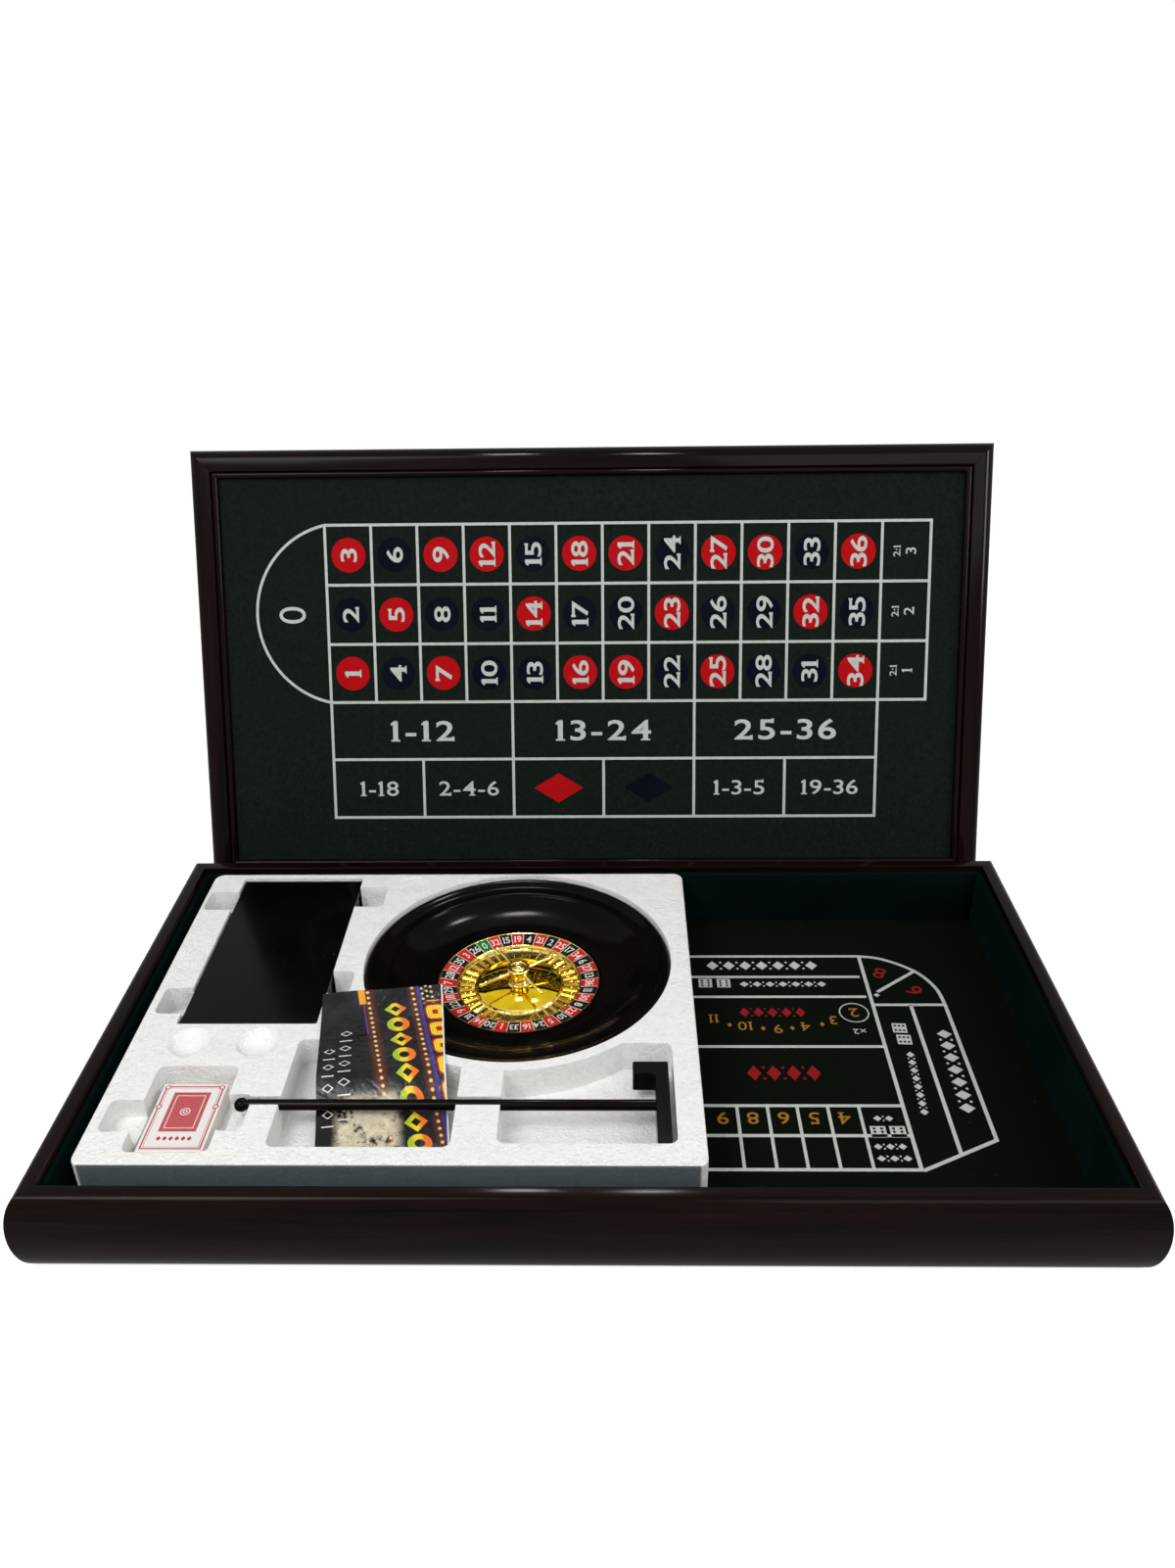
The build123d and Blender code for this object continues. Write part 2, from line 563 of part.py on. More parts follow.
spindle_points = [
    (0, SPINDLE_Z[0]),
    (SPINDLE_RADIUS, SPINDLE_Z[0]),
    (SPINDLE_RADIUS, SPINDLE_Z[1] - 1.5),
    (SPINDLE_RADIUS - 1.5, SPINDLE_Z[1]),
    (0, SPINDLE_Z[1]),
]
save_in_tray(turned(spindle_points, WHEEL), "wheel_spindle")

# ---------------------------------------------------------------- rotor, counted in 37 pockets
POCKETS = 37
ZERO_ANGLE = 124.0
FRET = 1.2
BUSH_RADIUS = 6.0
ROTOR_RADIUS = 93.5
HUB_BOTTOM = WELL_FLOOR + 1.9
RING_OUT = (92.4, 49.9)
RING_IN = (71.2, 46.9)
POCKET_SEAT = 40.8
POCKET_IN = 48.6
FRET_TOP = 46.6
POCKET_FLOOR = 43.0
rotor_points = [
    (BUSH_RADIUS, HUB_BOTTOM),
    (12.0, HUB_BOTTOM),
    (14.0, 38.0),
    (90.5, 38.0),
    (ROTOR_RADIUS, 41.0),
    (ROTOR_RADIUS, 50.6),
    (RING_OUT[0] + 0.2, 50.9),
    RING_OUT,
    RING_IN,
    (RING_IN[0], POCKET_SEAT),
    (POCKET_IN - 0.6, POCKET_SEAT),
    (POCKET_IN - 0.6, 42.8),
    (BUSH_RADIUS, 42.8),
]
save_in_tray(turned(rotor_points, WHEEL), "rotor_body")
LABEL = 0.5
label_points = [RING_IN, RING_OUT, (RING_OUT[0], RING_OUT[1] + LABEL), (RING_IN[0], RING_IN[1] + LABEL)]
save_in_tray(turned(label_points, WHEEL), "number_ring")
pocket_out = RING_IN[0] - 0.2
trough = turned([
    (POCKET_IN, POCKET_SEAT),
    (pocket_out, POCKET_SEAT),
    (pocket_out, FRET_TOP),
    (pocket_out - 1.2, FRET_TOP),
    (pocket_out - 2.4, POCKET_FLOOR),
    (POCKET_IN + 4.4, POCKET_FLOOR - 0.6),
    (POCKET_IN + 1.6, 44.8),
    (POCKET_IN, 45.0),
])
frets = []
for i in range(POCKETS):
    angle = ZERO_ANGLE + (i + 0.5) * 360.0 / POCKETS
    fin = block(POCKET_IN + 1.0, pocket_out - 0.6, -FRET / 2, FRET / 2, POCKET_FLOOR - 1.4, FRET_TOP - 0.3)
    frets.append(Rot(0, 0, angle) * fin)
save_in_tray(Pos(WHEEL[0], WHEEL[1], 0) * trough.fuse(*frets), "pocket_ring")
disc_points = [(9.0, 43.0), (POCKET_IN - 0.3, 43.0), (POCKET_IN - 0.3, 44.9), (15.0, 46.9), (9.0, 46.9)]
save_in_tray(turned(disc_points, WHEEL), "centre_disc")
bush_points = [
    (SPINDLE_RADIUS + RUNNING_FIT, HUB_BOTTOM),
    (BUSH_RADIUS, HUB_BOTTOM),
    (BUSH_RADIUS, 52.0),
    (SPINDLE_RADIUS + RUNNING_FIT, 52.0),
]
save_in_tray(turned(bush_points, WHEEL), "rotor_bush")

# ---------------------------------------------------------------- turret
ARM_REACH = 49.0
ARM_START = 10.5
ARM_ROOT = 2.1
ARM_Z = 64.2
hub_points = [
    (BUSH_RADIUS + 0.1, 46.9),
    (13.4, 46.9),
    (13.4, 48.6),
    (10.8, 49.6),
    (10.0, 51.6),
    (7.9, 53.4),
    (7.4, 57.4),
    (8.8, 60.0),
    (10.2, 61.4),
    (10.2, 62.0),
    (0, 62.0),
    (0, 57.6),
    (3.6, 57.6),
    (3.6, 52.4),
    (BUSH_RADIUS + 0.1, 52.4),
]
save_in_tray(turned(hub_points, WHEEL), "turret_hub")
collar = turned([(0, 62.0), (11.0, 62.0), (12.0, 63.0), (12.0, 65.6), (11.0, 66.4), (0, 66.4)])
arm_parts = []
for i in range(4):
    arm = Cone(ARM_ROOT, 1.5, ARM_REACH - ARM_START)
    arm = Pos((ARM_START + ARM_REACH) / 2, 0, ARM_Z) * Rot(0, 90, 0) * arm
    knob = Pos(ARM_REACH, 0, ARM_Z) * Sphere(2.7)
    turn = Rot(0, 0, ZERO_ANGLE + 90 * i)
    arm_parts.append(turn * arm)
    arm_parts.append(turn * knob)
save_in_tray(Pos(WHEEL[0], WHEEL[1], 0) * collar.fuse(*arm_parts), "turret_arms")
cap_points = [
    (0, 66.4),
    (11.6, 66.4),
    (13.2, 67.2),
    (13.2, 68.2),
    (12.0, 69.0),
    (9.6, 69.0),
    (9.0, 68.4),
    (7.6, 68.4),
    (7.0, 69.2),
    (5.2, 70.0),
    (3.2, 70.6),
    (0, 71.0),
]
save_in_tray(turned(cap_points, WHEEL), "turret_cap")

# ---------------------------------------------------------------- rake
ROD_LEFT = -334.0
KNOB_RADIUS = 7.0
WING_REACH = 22.0
WING_WIDTH = 18.0
rod = rod_along("x", ((ROD_LEFT + HEAD_X[0]) / 2, ROD_Y, ROD_Z), ROD_RADIUS, HEAD_X[0] - ROD_LEFT)
tenon = rod_along("x", (HEAD_X[0] + 4.0, ROD_Y, ROD_Z), 3.5, 8.0)
save_in_tray(rod + tenon, "rake_rod")
end_knob = Pos(ROD_LEFT - 4.5, ROD_Y, ROD_Z) * Rot(0, 90, 0) * Sphere(KNOB_RADIUS)
end_knob = end_knob - block(ROD_LEFT, ROD_LEFT + 20, ROD_Y - 20, ROD_Y + 20, ROD_Z - 20, ROD_Z + 20)
save_in_tray(end_knob, "rake_knob")
head = block(HEAD_X[0], HEAD_X[1], HEAD_Y[0], HEAD_Y[1], HEAD_Z[0], HEAD_Z[1])
wing = block(HEAD_X[0] - WING_REACH, HEAD_X[0], HEAD_Y[1] - WING_WIDTH, HEAD_Y[1], HEAD_Z[0], HEAD_Z[1])
head = head + wing
head = fillet(head.edges().filter_by(Axis.Z), 2.0)
head = chamfer(head.edges().group_by(Axis.Z)[-1], EDGE_ROUND)
save_in_tray(head - tenon, "rake_head")

# ---------------------------------------------------------------- booklet, curled over the bowl
BOOKLET_WIDTH = 129.0
BOOKLET_TURN = 8.1
BOOKLET_CORNER = (-287.6, 2.0)
COVER = 0.4
BOOKLET_THICK = 2.0
curl = [
    (0.0, 88.4),
    (24.0, 84.4),
    (52.0, 82.4),
    (86.0, 82.0),
    (112.0, 81.8),
    (121.0, 81.2),
    (134.0, 75.6),
    (148.0, 67.0),
    (164.0, 60.0),
    (183.0, 54.4),
    (206.0, 50.4),
]


def curled_sheet(low, high, left, right):
    under = Spline(*[(l, z + low) for l, z in curl])
    over = Spline(*[(l, z + high) for l, z in curl])
    ends = Line(under @ 0, over @ 0) + Line(under @ 1, over @ 1)
    face = make_face(under + over + ends)
    sheet = extrude(Plane.XZ * face, amount=right - left, dir=(0, 1, 0))
    sheet = Pos(0, left, 0) * sheet
    place = Pos(BOOKLET_CORNER[0], BOOKLET_CORNER[1], 0) * Rot(0, 0, BOOKLET_TURN - 90)
    return place * sheet


cover = curled_sheet(0, BOOKLET_THICK, 0, BOOKLET_WIDTH)
cover = cover - curled_sheet(COVER, BOOKLET_THICK - COVER, COVER, BOOKLET_WIDTH + 5)
save_in_tray(cover, "booklet_cover")
save_in_tray(curled_sheet(COVER, BOOKLET_THICK - COVER, COVER, BOOKLET_WIDTH - 0.6), "booklet_pages")
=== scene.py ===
"""Looks of the roulette set case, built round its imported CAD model. Sizes in the tables below are in
millimetres in the frame of the part: origin under the middle of the case, X right, Y back, Z up."""

import math

import bmesh
import bpy
from mathutils import Matrix, Vector


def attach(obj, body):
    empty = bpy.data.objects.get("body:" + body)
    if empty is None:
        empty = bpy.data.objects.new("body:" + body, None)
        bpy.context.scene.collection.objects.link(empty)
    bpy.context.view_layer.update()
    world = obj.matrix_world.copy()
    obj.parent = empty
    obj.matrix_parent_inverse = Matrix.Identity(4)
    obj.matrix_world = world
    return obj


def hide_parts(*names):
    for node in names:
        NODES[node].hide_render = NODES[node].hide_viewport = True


bl_info = {
    "name": "Roulette set case",
    "version": (1, 0, 0),
    "blender": (4, 5, 0),
    "location": "View3D > Sidebar > Roulette case",
    "description": "Builds the cloth, prints, foam, wheel and finishes of a roulette set case",
    "category": "Add Mesh",
}

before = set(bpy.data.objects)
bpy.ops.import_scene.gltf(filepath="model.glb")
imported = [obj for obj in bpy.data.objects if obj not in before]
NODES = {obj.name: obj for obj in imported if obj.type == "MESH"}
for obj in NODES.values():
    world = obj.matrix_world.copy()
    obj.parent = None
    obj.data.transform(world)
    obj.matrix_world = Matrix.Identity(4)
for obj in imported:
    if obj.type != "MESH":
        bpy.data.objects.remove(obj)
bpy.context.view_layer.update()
SIDES = ("front", "back", "left", "right")

# ---------------------------------------------------------------- sizes shared with the part's source
HALF_LENGTH = 505.0
HALF_WIDTH = 275.0
CASE_HEIGHT = 86.0
BULGE = 14.5
RIM_FLAT = 11.0
BASE_THICKNESS = 7.0
BASE_REBATE = 6.0
FLOOR = 8.0
CLOTH = 1.0
CLOTH_GAP = 0.3
CORNER_ROUND = 0.8
PAD_TOP_Z = 78.0
# Thickness of the wall pads at their foot, middle and top, and the roll of their upper edge
PAD_THICK = (6.5, 6.8, 5.0)
PAD_ROLL = 2.4
PIN_Y = 286.85
PIN_Z = 29.151645
OPENING_TURN = -109.5
LID_BASE = 86.4
# The lid's front edge as it lies closed, from the case's middle
LID_FRONT = 289.5
LID_THICKNESS = 30.0
LID_FLAT = 13.0
LID_CLOTH_T = 10.0
PANEL_TOP_T = 17.0
PANEL_GROOVE = 6.0
LID_LIP = 30.0
LIP_ROUND = 8.0
BEAD_WIDTH = 8.7
BEAD_TOP = 2.0
WHEEL_X = -81.0
WHEEL_Y = 79.3
POCKETS = 37
ZERO_ANGLE = 124.0
SECTOR = 360.0 / POCKETS
ROD_Y = -150.5
ROD_Z = 75.2

MM = Matrix.Scale(0.001, 4)
PIN = Matrix.Translation((0, PIN_Y, PIN_Z))
OPENED = MM @ PIN @ Matrix.Rotation(math.radians(OPENING_TURN), 4, "X") @ PIN.inverted()
# The lid's printed face: x right, y up the cloth from the lower edge, z out of the cloth
LID_FACE = OPENED @ Matrix(((1, 0, 0, 0), (0, -1, 0, LID_FRONT), (0, 0, -1, LID_BASE + LID_CLOTH_T),
                            (0, 0, 0, 1)))
FLOOR_FACE = MM @ Matrix.Translation((0, 0, FLOOR))
WHEEL_PLACE = MM @ Matrix.Translation((WHEEL_X, WHEEL_Y, 0))

WHEEL_ORDER = (0, 32, 15, 19, 4, 21, 2, 25, 17, 34, 6, 27, 13, 36, 11, 30, 8, 23, 10, 5, 24, 16, 33, 1,
               20, 14, 31, 9, 22, 18, 29, 7, 28, 12, 35, 3, 26)
RED_NUMBERS = (1, 3, 5, 7, 9, 12, 14, 16, 18, 19, 21, 23, 25, 27, 30, 32, 34, 36)


# ---------------------------------------------------------------- what a user may change
def length_setting(label, text, value):
    return bpy.props.FloatProperty(name=label, description=text, default=value, min=0.0, unit="LENGTH")


def colour_setting(label, text, value):
    return bpy.props.FloatVectorProperty(
        name=label, description=text, default=(*value, 1.0), size=4, min=0.0, max=1.0, subtype="COLOR")


class RouletteCaseSizes(bpy.types.PropertyGroup):
    """Sizes of the prints and small roundings"""
    lid_line: length_setting("Lid line", "Width of the white lines printed in the lid", 0.0036)
    floor_line: length_setting("Floor line", "Width of the white lines printed on the floor", 0.0042)
    disc: length_setting("Number disc", "Diameter of the discs printed in the lid", 0.0448)
    numeral: length_setting("Numeral", "Height of the numerals in the discs", 0.0225)
    print_height: length_setting("Print height", "How far the print stands on the cloth", 0.0001)
    wheel_numeral: length_setting("Wheel numeral", "Height of the numerals on the wheel", 0.0108)
    edge: length_setting("Edge rounding", "Rounding of the wooden edges", 0.0005)
    foam_edge: length_setting("Foam edge", "Rounding of the foam's edges", 0.0009)


class RouletteCaseColours(bpy.types.PropertyGroup):
    """Colours of the finishes"""
    lacquer: colour_setting("Lacquer", "Darkest colour of the lacquered wood", (0.0024, 0.0011, 0.0010))
    lacquer_warm: colour_setting("Lacquer grain", "Red brown of the grain", (0.0085, 0.0030, 0.0024))
    velvet: colour_setting("Velvet", "Colour of the wall lining", (0.0002, 0.0040, 0.0034))
    lid_baize: colour_setting("Lid cloth", "Green of the cloth in the lid", (0.0062, 0.0098, 0.0076))
    floor_baize: colour_setting("Floor cloth", "Green of the cloth on the floor", (0.0014, 0.0026, 0.0011))
    print_white: colour_setting("White print", "White of the printed lines", (0.54, 0.57, 0.53))
    print_red: colour_setting("Red print", "Red of the printed discs", (0.44, 0.002, 0.005))
    print_navy: colour_setting("Navy print", "Navy of the printed discs", (0.0006, 0.0022, 0.0075))
    print_gold: colour_setting("Gold print", "Gold of the small numbers", (0.36, 0.17, 0.021))
    foam: colour_setting("Foam", "Off-white of the foam", (0.88, 0.88, 0.86))
    gold: colour_setting("Gold plate", "Colour of the plated metal", (0.70, 0.50, 0.016))


def sizes():
    return bpy.context.scene.roulette_case_sizes


def colours():
    return bpy.context.scene.roulette_case_colours


# ---------------------------------------------------------------- node wiring
class Field:
    """A node's output. Arithmetic with it makes math nodes."""
    def __init__(self, socket):
        self.socket = socket

    def __add__(self, other):
        return maths("ADD", self, other)

    def __sub__(self, other):
        return maths("SUBTRACT", self, other)

    def __rsub__(self, other):
        return maths("SUBTRACT", other, self)

    def __mul__(self, other):
        return maths("MULTIPLY", self, other)

    def __truediv__(self, other):
        return maths("DIVIDE", self, other)

    def __pow__(self, other):
        return maths("POWER", self, other)

    def __abs__(self):
        return maths("ABSOLUTE", self)


def node(tree, kind, inputs=(), **settings):
    """A new node with its settings, then its inputs linked from fields or set to values."""
    made = tree.nodes.new(kind)
    for key, value in settings.items():
        setattr(made, key, value)
    for key, value in dict(inputs).items():
        if isinstance(value, Field):
            tree.links.new(value.socket, made.inputs[key])
        else:
            made.inputs[key].default_value = value
    return made


def outputs(made):
    """A node's outputs by name."""
    return {socket.name: Field(socket) for socket in made.outputs}


def field(tree, kind, output, inputs=(), **settings):
    """One output of a new node."""
    return Field(node(tree, kind, inputs, **settings).outputs[output])


def maths(operation, *values, clamp=False):
    tree = tree_of(*values)
    return field(tree, "ShaderNodeMath", 0, enumerate(values), operation=operation, use_clamp=clamp)


def tree_of(*values):
    """The node tree of the first field among the values."""
    return next(value.socket.id_data for value in values if isinstance(value, Field))


def larger(first, second):
    return maths("MAXIMUM", first, second)


def smaller(first, second):
    return maths("MINIMUM", first, second)


def sine(value):
    return maths("SINE", value)


def fraction(value):
    return maths("FRACT", value)


def distance(across, along):
    return maths("SQRT", across * across + along * along)


def either(first, second):
    """Two masks together, held to 1."""
    return maths("ADD", first, second, clamp=True)


def without(first, second):
    """A mask with another cut out of it."""
    return maths("SUBTRACT", first, second, clamp=True)


def mixed(share, first, second):
    """Two colours mixed by a share."""
    return field(tree_of(share), "ShaderNodeMix", 2, {0: share, 6: first, 7: second}, data_type="RGBA")


def between(value, low, high, out_low=0.0, out_high=1.0):
    """A value carried from one range to another, held at the ends."""
    inputs = {0: value, 1: low, 2: high, 3: out_low, 4: out_high}
    return field(tree_of(value), "ShaderNodeMapRange", 0, inputs, interpolation_type="SMOOTHSTEP")


def below(value, limit, soft):
    """A mask that is 1 where a value is under a limit, with a soft edge."""
    return between(value, limit - soft, limit + soft, 1.0, 0.0)


def here(tree):
    """The place on the piece, in metres."""
    return field(tree, "ShaderNodeTexCoord", "Object")


def mapped(place, **inputs):
    return field(tree_of(place), "ShaderNodeMapping", 0, {"Vector": place, **inputs})


def parts(place):
    return [Field(socket) for socket in node(tree_of(place), "ShaderNodeSeparateXYZ", {0: place}).outputs]


def noise(place, scale, detail=4.0, roughness=0.55):
    inputs = {"Vector": place, "Scale": scale, "Detail": detail, "Roughness": roughness}
    return field(tree_of(place), "ShaderNodeTexNoise", "Fac", inputs)


def patchy(place, scale):
    """Soft patches from 0 to 1."""
    return between(noise(place, scale, 3.0), 0.35, 0.65)


def waves(place, scale, distortion, **settings):
    inputs = {"Vector": place, "Scale": scale, "Distortion": distortion}
    return field(tree_of(place), "ShaderNodeTexWave", "Fac", inputs, **settings)


def bumped(height, depth, strength=1.0):
    inputs = {"Height": height, "Distance": depth, "Strength": strength}
    return field(tree_of(height), "ShaderNodeBump", "Normal", inputs)


def scaled(colour, share):
    """A darker or paler colour, opaque."""
    return (*(part * share for part in colour[:3]), 1)


# ---------------------------------------------------------------- shared effects
def wire_grain(tree, given):
    drawn = mapped(mapped(here(tree), Rotation=given["Turn"]), Scale=given["Stretch"])
    fine = noise(drawn, 5.0, 4.0, 0.6)
    shade = noise(drawn, 1.0, 5.0, 0.6) * 0.7 + fine * 0.3
    return {"Shade": between(shade, 0.36, 0.66), "Pores": fine}


def wire_polish(tree, given):
    place, scale, low = here(tree), given["Scale"], given["Low"]
    specks = between(noise(place, scale * 38.0, 2.0, 0.6), 0.70, 0.78)
    rough = low + noise(place, scale, 3.0, 0.5) * (given["High"] - low)
    peel = noise(place, scale * 26.0, 1.0, 0.4)
    return {"Roughness": rough + specks * 0.2, "Dust": specks, "Peel": peel}


def wire_nap(tree, given):
    place, fibre = here(tree), given["Fibre"]
    shade = noise(place, fibre, 3.0, 0.7) * 0.55 + noise(place, fibre * 0.16, 3.0, 0.6) * 0.45
    lint = between(noise(place, 420.0, 1.0, 0.5), 0.80, 0.84)
    patches = between(noise(place, given["Patch"], 3.0, 0.5), 0.35, 0.65)
    return {"Shade": between(shade, 0.36, 0.64), "Patch": patches, "Height": shade, "Lint": lint}


def wire_weave(tree, given):
    inputs = {"Vector": mapped(here(tree), Rotation=given["Turn"]), "Scale": given["Threads"],
              "Distortion": 1.4, "Detail": 2.0, "Detail Scale": 2.0}
    warp, weft = (field(tree, "ShaderNodeTexWave", "Fac", inputs, bands_direction=way) for way in "XY")
    return {"Threads": (warp + weft) * 0.5}


def wire_beads(tree, given):
    place = here(tree)
    wobble = field(tree, "ShaderNodeTexNoise", "Color", {"Vector": place, "Scale": 60.0, "Detail": 2.0})
    moved = field(tree, "ShaderNodeMix", 1, {0: 0.012, 4: place, 5: wobble}, data_type="VECTOR")
    cells = {"Vector": moved, "Scale": given["Beads"]}
    beads = outputs(node(tree, "ShaderNodeTexVoronoi", cells, feature="SMOOTH_F1"))
    domes = between(beads["Distance"], 0.15, 0.75, 1.0, 0.0)
    dents = noise(place, 38.0, 3.0, 0.55)
    crumbs = noise(place, 900.0, 3.0, 0.6) * 0.10 + noise(place, 330.0, 3.0, 0.65) * 0.85
    tint = field(tree, "ShaderNodeSeparateColor", 0, {0: beads["Color"]})
    return {"Domes": domes, "Tint": tint, "Height": domes * 0.14 + crumbs + dents * 1.3, "Dents": dents}


VECTOR, VALUE = "NodeSocketVector", "NodeSocketFloat"
# Each effect's group name, inputs, outputs and wiring
EFFECT_PLANS = {
    "grain": ("wood_grain", [("Turn", VECTOR, (0, 0, 0)), ("Stretch", VECTOR, (2, 60, 60))],
              ("Shade", "Pores"), wire_grain),
    "polish": ("polish_wear", [("Scale", VALUE, 12.0), ("Low", VALUE, 0.1), ("High", VALUE, 0.2)],
               ("Roughness", "Dust", "Peel"), wire_polish),
    "nap": ("cloth_nap", [("Fibre", VALUE, 1500.0), ("Patch", VALUE, 7.0)],
            ("Shade", "Patch", "Height", "Lint"), wire_nap),
    "weave": ("cloth_weave", [("Turn", VECTOR, (0, 0, 0)), ("Threads", VALUE, 380.0)],
              ("Threads",), wire_weave),
    "beads": ("foam_beads", [("Beads", VALUE, 260.0)], ("Domes", "Tint", "Height", "Dents"), wire_beads),
}
EFFECTS = {}


def build_effects():
    """A node group for each effect."""
    for key, (name, inputs, results, wire) in EFFECT_PLANS.items():
        tree = bpy.data.node_groups.new(name, "ShaderNodeTree")
        for label, kind, value in inputs:
            tree.interface.new_socket(label, in_out="INPUT", socket_type=kind).default_value = value
        for label in results:
            tree.interface.new_socket(label, in_out="OUTPUT", socket_type=VALUE)
        given = outputs(tree.nodes.new("NodeGroupInput"))
        node(tree, "NodeGroupOutput", wire(tree, given))
        EFFECTS[key] = tree


def used(tree, name, **inputs):
    """An effect placed in a material, with its inputs set."""
    return outputs(node(tree, "ShaderNodeGroup", inputs, node_tree=EFFECTS[name]))


# ---------------------------------------------------------------- finishes
FINISHES = {}
PALE_DUST = (0.5, 0.48, 0.45, 1)


def finish(name, wire, **shader):
    """A material made once: fixed values on the shader's sockets, and what varies wired in by a function."""
    if name in FINISHES:
        return FINISHES[name]
    made = bpy.data.materials.new(name)
    made.use_nodes = True
    tree = made.node_tree
    tree.nodes.clear()
    values = {key.replace("_", " "): value for key, value in shader.items()}
    surface = field(tree, "ShaderNodeBsdfPrincipled", 0, {**values, **wire(tree)})
    node(tree, "ShaderNodeOutputMaterial", {"Surface": surface})
    FINISHES[name] = made
    return made


def lacquered_wood(name, turn=(0, 0, 0), stretch=(2.5, 70, 70), dark=None, warm=None):
    dark = dark or colours().lacquer
    warm = warm or colours().lacquer_warm

    def wire(tree):
        grain = used(tree, "grain", Turn=turn, Stretch=stretch)
        polish = used(tree, "polish", Scale=9.0, Low=0.10, High=0.18)
        colour = mixed(grain["Shade"], dark, warm)
        return {"Base Color": mixed(polish["Dust"] * 0.02, colour, (0.35, 0.33, 0.30, 1)),
                "Roughness": polish["Roughness"],
                "Normal": bumped(polish["Peel"] * 0.6 + grain["Pores"], 0.00003, 0.5)}
    return finish(name, wire, Specular_IOR_Level=0.05)


def plain_gloss(name, dark, pale, low, high, scale=14.0, **shader):
    """Lacquer, plastic or metal with smears, dust and a faint unevenness."""
    def wire(tree):
        polish = used(tree, "polish", Scale=scale, Low=low, High=high)
        colour = mixed(patchy(here(tree), scale * 1.7), (*dark, 1), (*pale, 1))
        return {"Base Color": mixed(polish["Dust"] * 0.04, colour, PALE_DUST),
                "Roughness": polish["Roughness"], "Normal": bumped(polish["Peel"], 0.00003, 0.5)}
    return finish(name, wire, **shader)


def plain_metal(name, dark, pale, low, high, scale):
    return plain_gloss(name, dark, pale, low, high, scale, Specular_IOR_Level=0.5, Metallic=1.0)


def velvet():
    def wire(tree):
        nap = used(tree, "nap", Fibre=1700.0, Patch=9.0)
        base = colours().velvet
        colour = mixed(nap["Shade"], scaled(base, 0.45), base)
        return {"Base Color": mixed(nap["Patch"] * 0.45, colour, scaled(base, 1.9)),
                "Roughness": between(nap["Patch"], 0.0, 1.0, 0.75, 0.95),
                "Normal": bumped(nap["Height"], 0.0006, 0.8)}
    return finish("velvet", wire, Sheen_Weight=0.04, Sheen_Roughness=0.35, Sheen_Tint=(0.03, 0.30, 0.27, 1),
                  Specular_IOR_Level=0.02)


def baize(name, base, turn, sheen):
    def wire(tree):
        nap = used(tree, "nap", Fibre=1250.0, Patch=5.0)
        threads = used(tree, "weave", Turn=turn, Threads=330.0)["Threads"]
        deep = scaled(base, 0.55)
        colour = mixed(nap["Shade"], deep, scaled(base, 1.65))
        colour = mixed(nap["Patch"] * 0.35, colour, base)
        colour = mixed(threads * 0.30, colour, deep)
        return {"Base Color": mixed(nap["Lint"] * 0.5, colour, (0.22, 0.18, 0.12, 1)),
                "Roughness": between(nap["Shade"], 0.0, 1.0, 0.82, 0.97),
                "Normal": bumped(nap["Height"] + threads * 0.8, 0.00035, 0.7)}
    return finish(name, wire, Sheen_Weight=sheen, Sheen_Roughness=0.5, Sheen_Tint=(0.25, 0.42, 0.32, 1),
                  Specular_IOR_Level=0.02)


def ink(name, base, turn=(0, 0, 0), worn=0.16):
    """Flock or screen print, thinned a little by the cloth under it."""
    def wire(tree):
        nap = used(tree, "nap", Fibre=1100.0, Patch=16.0)
        threads = used(tree, "weave", Turn=turn, Threads=330.0)["Threads"]
        colour = mixed(nap["Shade"] * 0.55, base, scaled(base, 0.72))
        return {"Base Color": mixed(threads * worn, colour, (0.02, 0.04, 0.03, 1)),
                "Roughness": between(nap["Patch"], 0.0, 1.0, 0.62, 0.8),
                "Normal": bumped(nap["Height"] + threads, 0.0002, 0.6)}
    return finish(name, wire, Specular_IOR_Level=0.02)


# The tray's front face, in metres
FOAM_FRONT = -0.2360


def white_foam():
    def wire(tree):
        beads = used(tree, "beads", Beads=250.0)
        base = colours().foam
        colour = mixed(beads["Tint"] * 0.22, base, scaled(base, 0.86))
        # Painted shade: a little grey in the crevices between the beads
        colour = mixed(between(beads["Domes"], 0.0, 0.5, 0.10, 0.0), colour, (0.42, 0.43, 0.42, 1))
        # Painted shade: the front face is painted dark grey, and it is smoother than the cut top
        forward = parts(here(tree))[1]
        shaded_front_face = between(forward, FOAM_FRONT + 0.0003, FOAM_FRONT + 0.0016, 1.0, 0.0)
        rough = between(beads["Dents"], 0.3, 0.7, 0.45, 0.7) - shaded_front_face * 0.25
        height = beads["Height"] * (1.0 - shaded_front_face * 0.8)
        return {"Base Color": mixed(shaded_front_face, colour, (0.11, 0.135, 0.14, 1)), "Roughness": rough,
                "Normal": bumped(height, 0.0028, 1.0)}
    return finish("white_foam", wire, Specular_IOR_Level=0.3, Subsurface_Weight=0.15,
                  Subsurface_Radius=(1.0, 1.0, 1.0), Subsurface_Scale=0.003)


def gold(name, low, high, pale=0.0, brushed=0.00002):
    """Plated metal; the share given pales it."""
    base = [part + (white - part) * pale for part, white in zip(colours().gold[:3], (0.86, 0.76, 0.50))]
    deep = (base[0] * 0.82, base[1] * 0.78, base[2] * 0.6)

    def wire(tree):
        polish = used(tree, "polish", Scale=20.0, Low=low, High=high)
        return {"Base Color": mixed(patchy(here(tree), 45.0), (*base, 1), (*deep, 1)),
                "Roughness": polish["Roughness"], "Normal": bumped(polish["Peel"], brushed, 0.6)}
    return finish(name, wire, Metallic=1.0)


# The carton's middle and top, in metres, and how far its printed panel lies behind the middle, in millimetres
CARTON_PLACE = (394.5, 160.0, -68.5)
PANEL_SHIFT = 7.0
CARTON_RED = (0.42, 0.012, 0.024, 1)


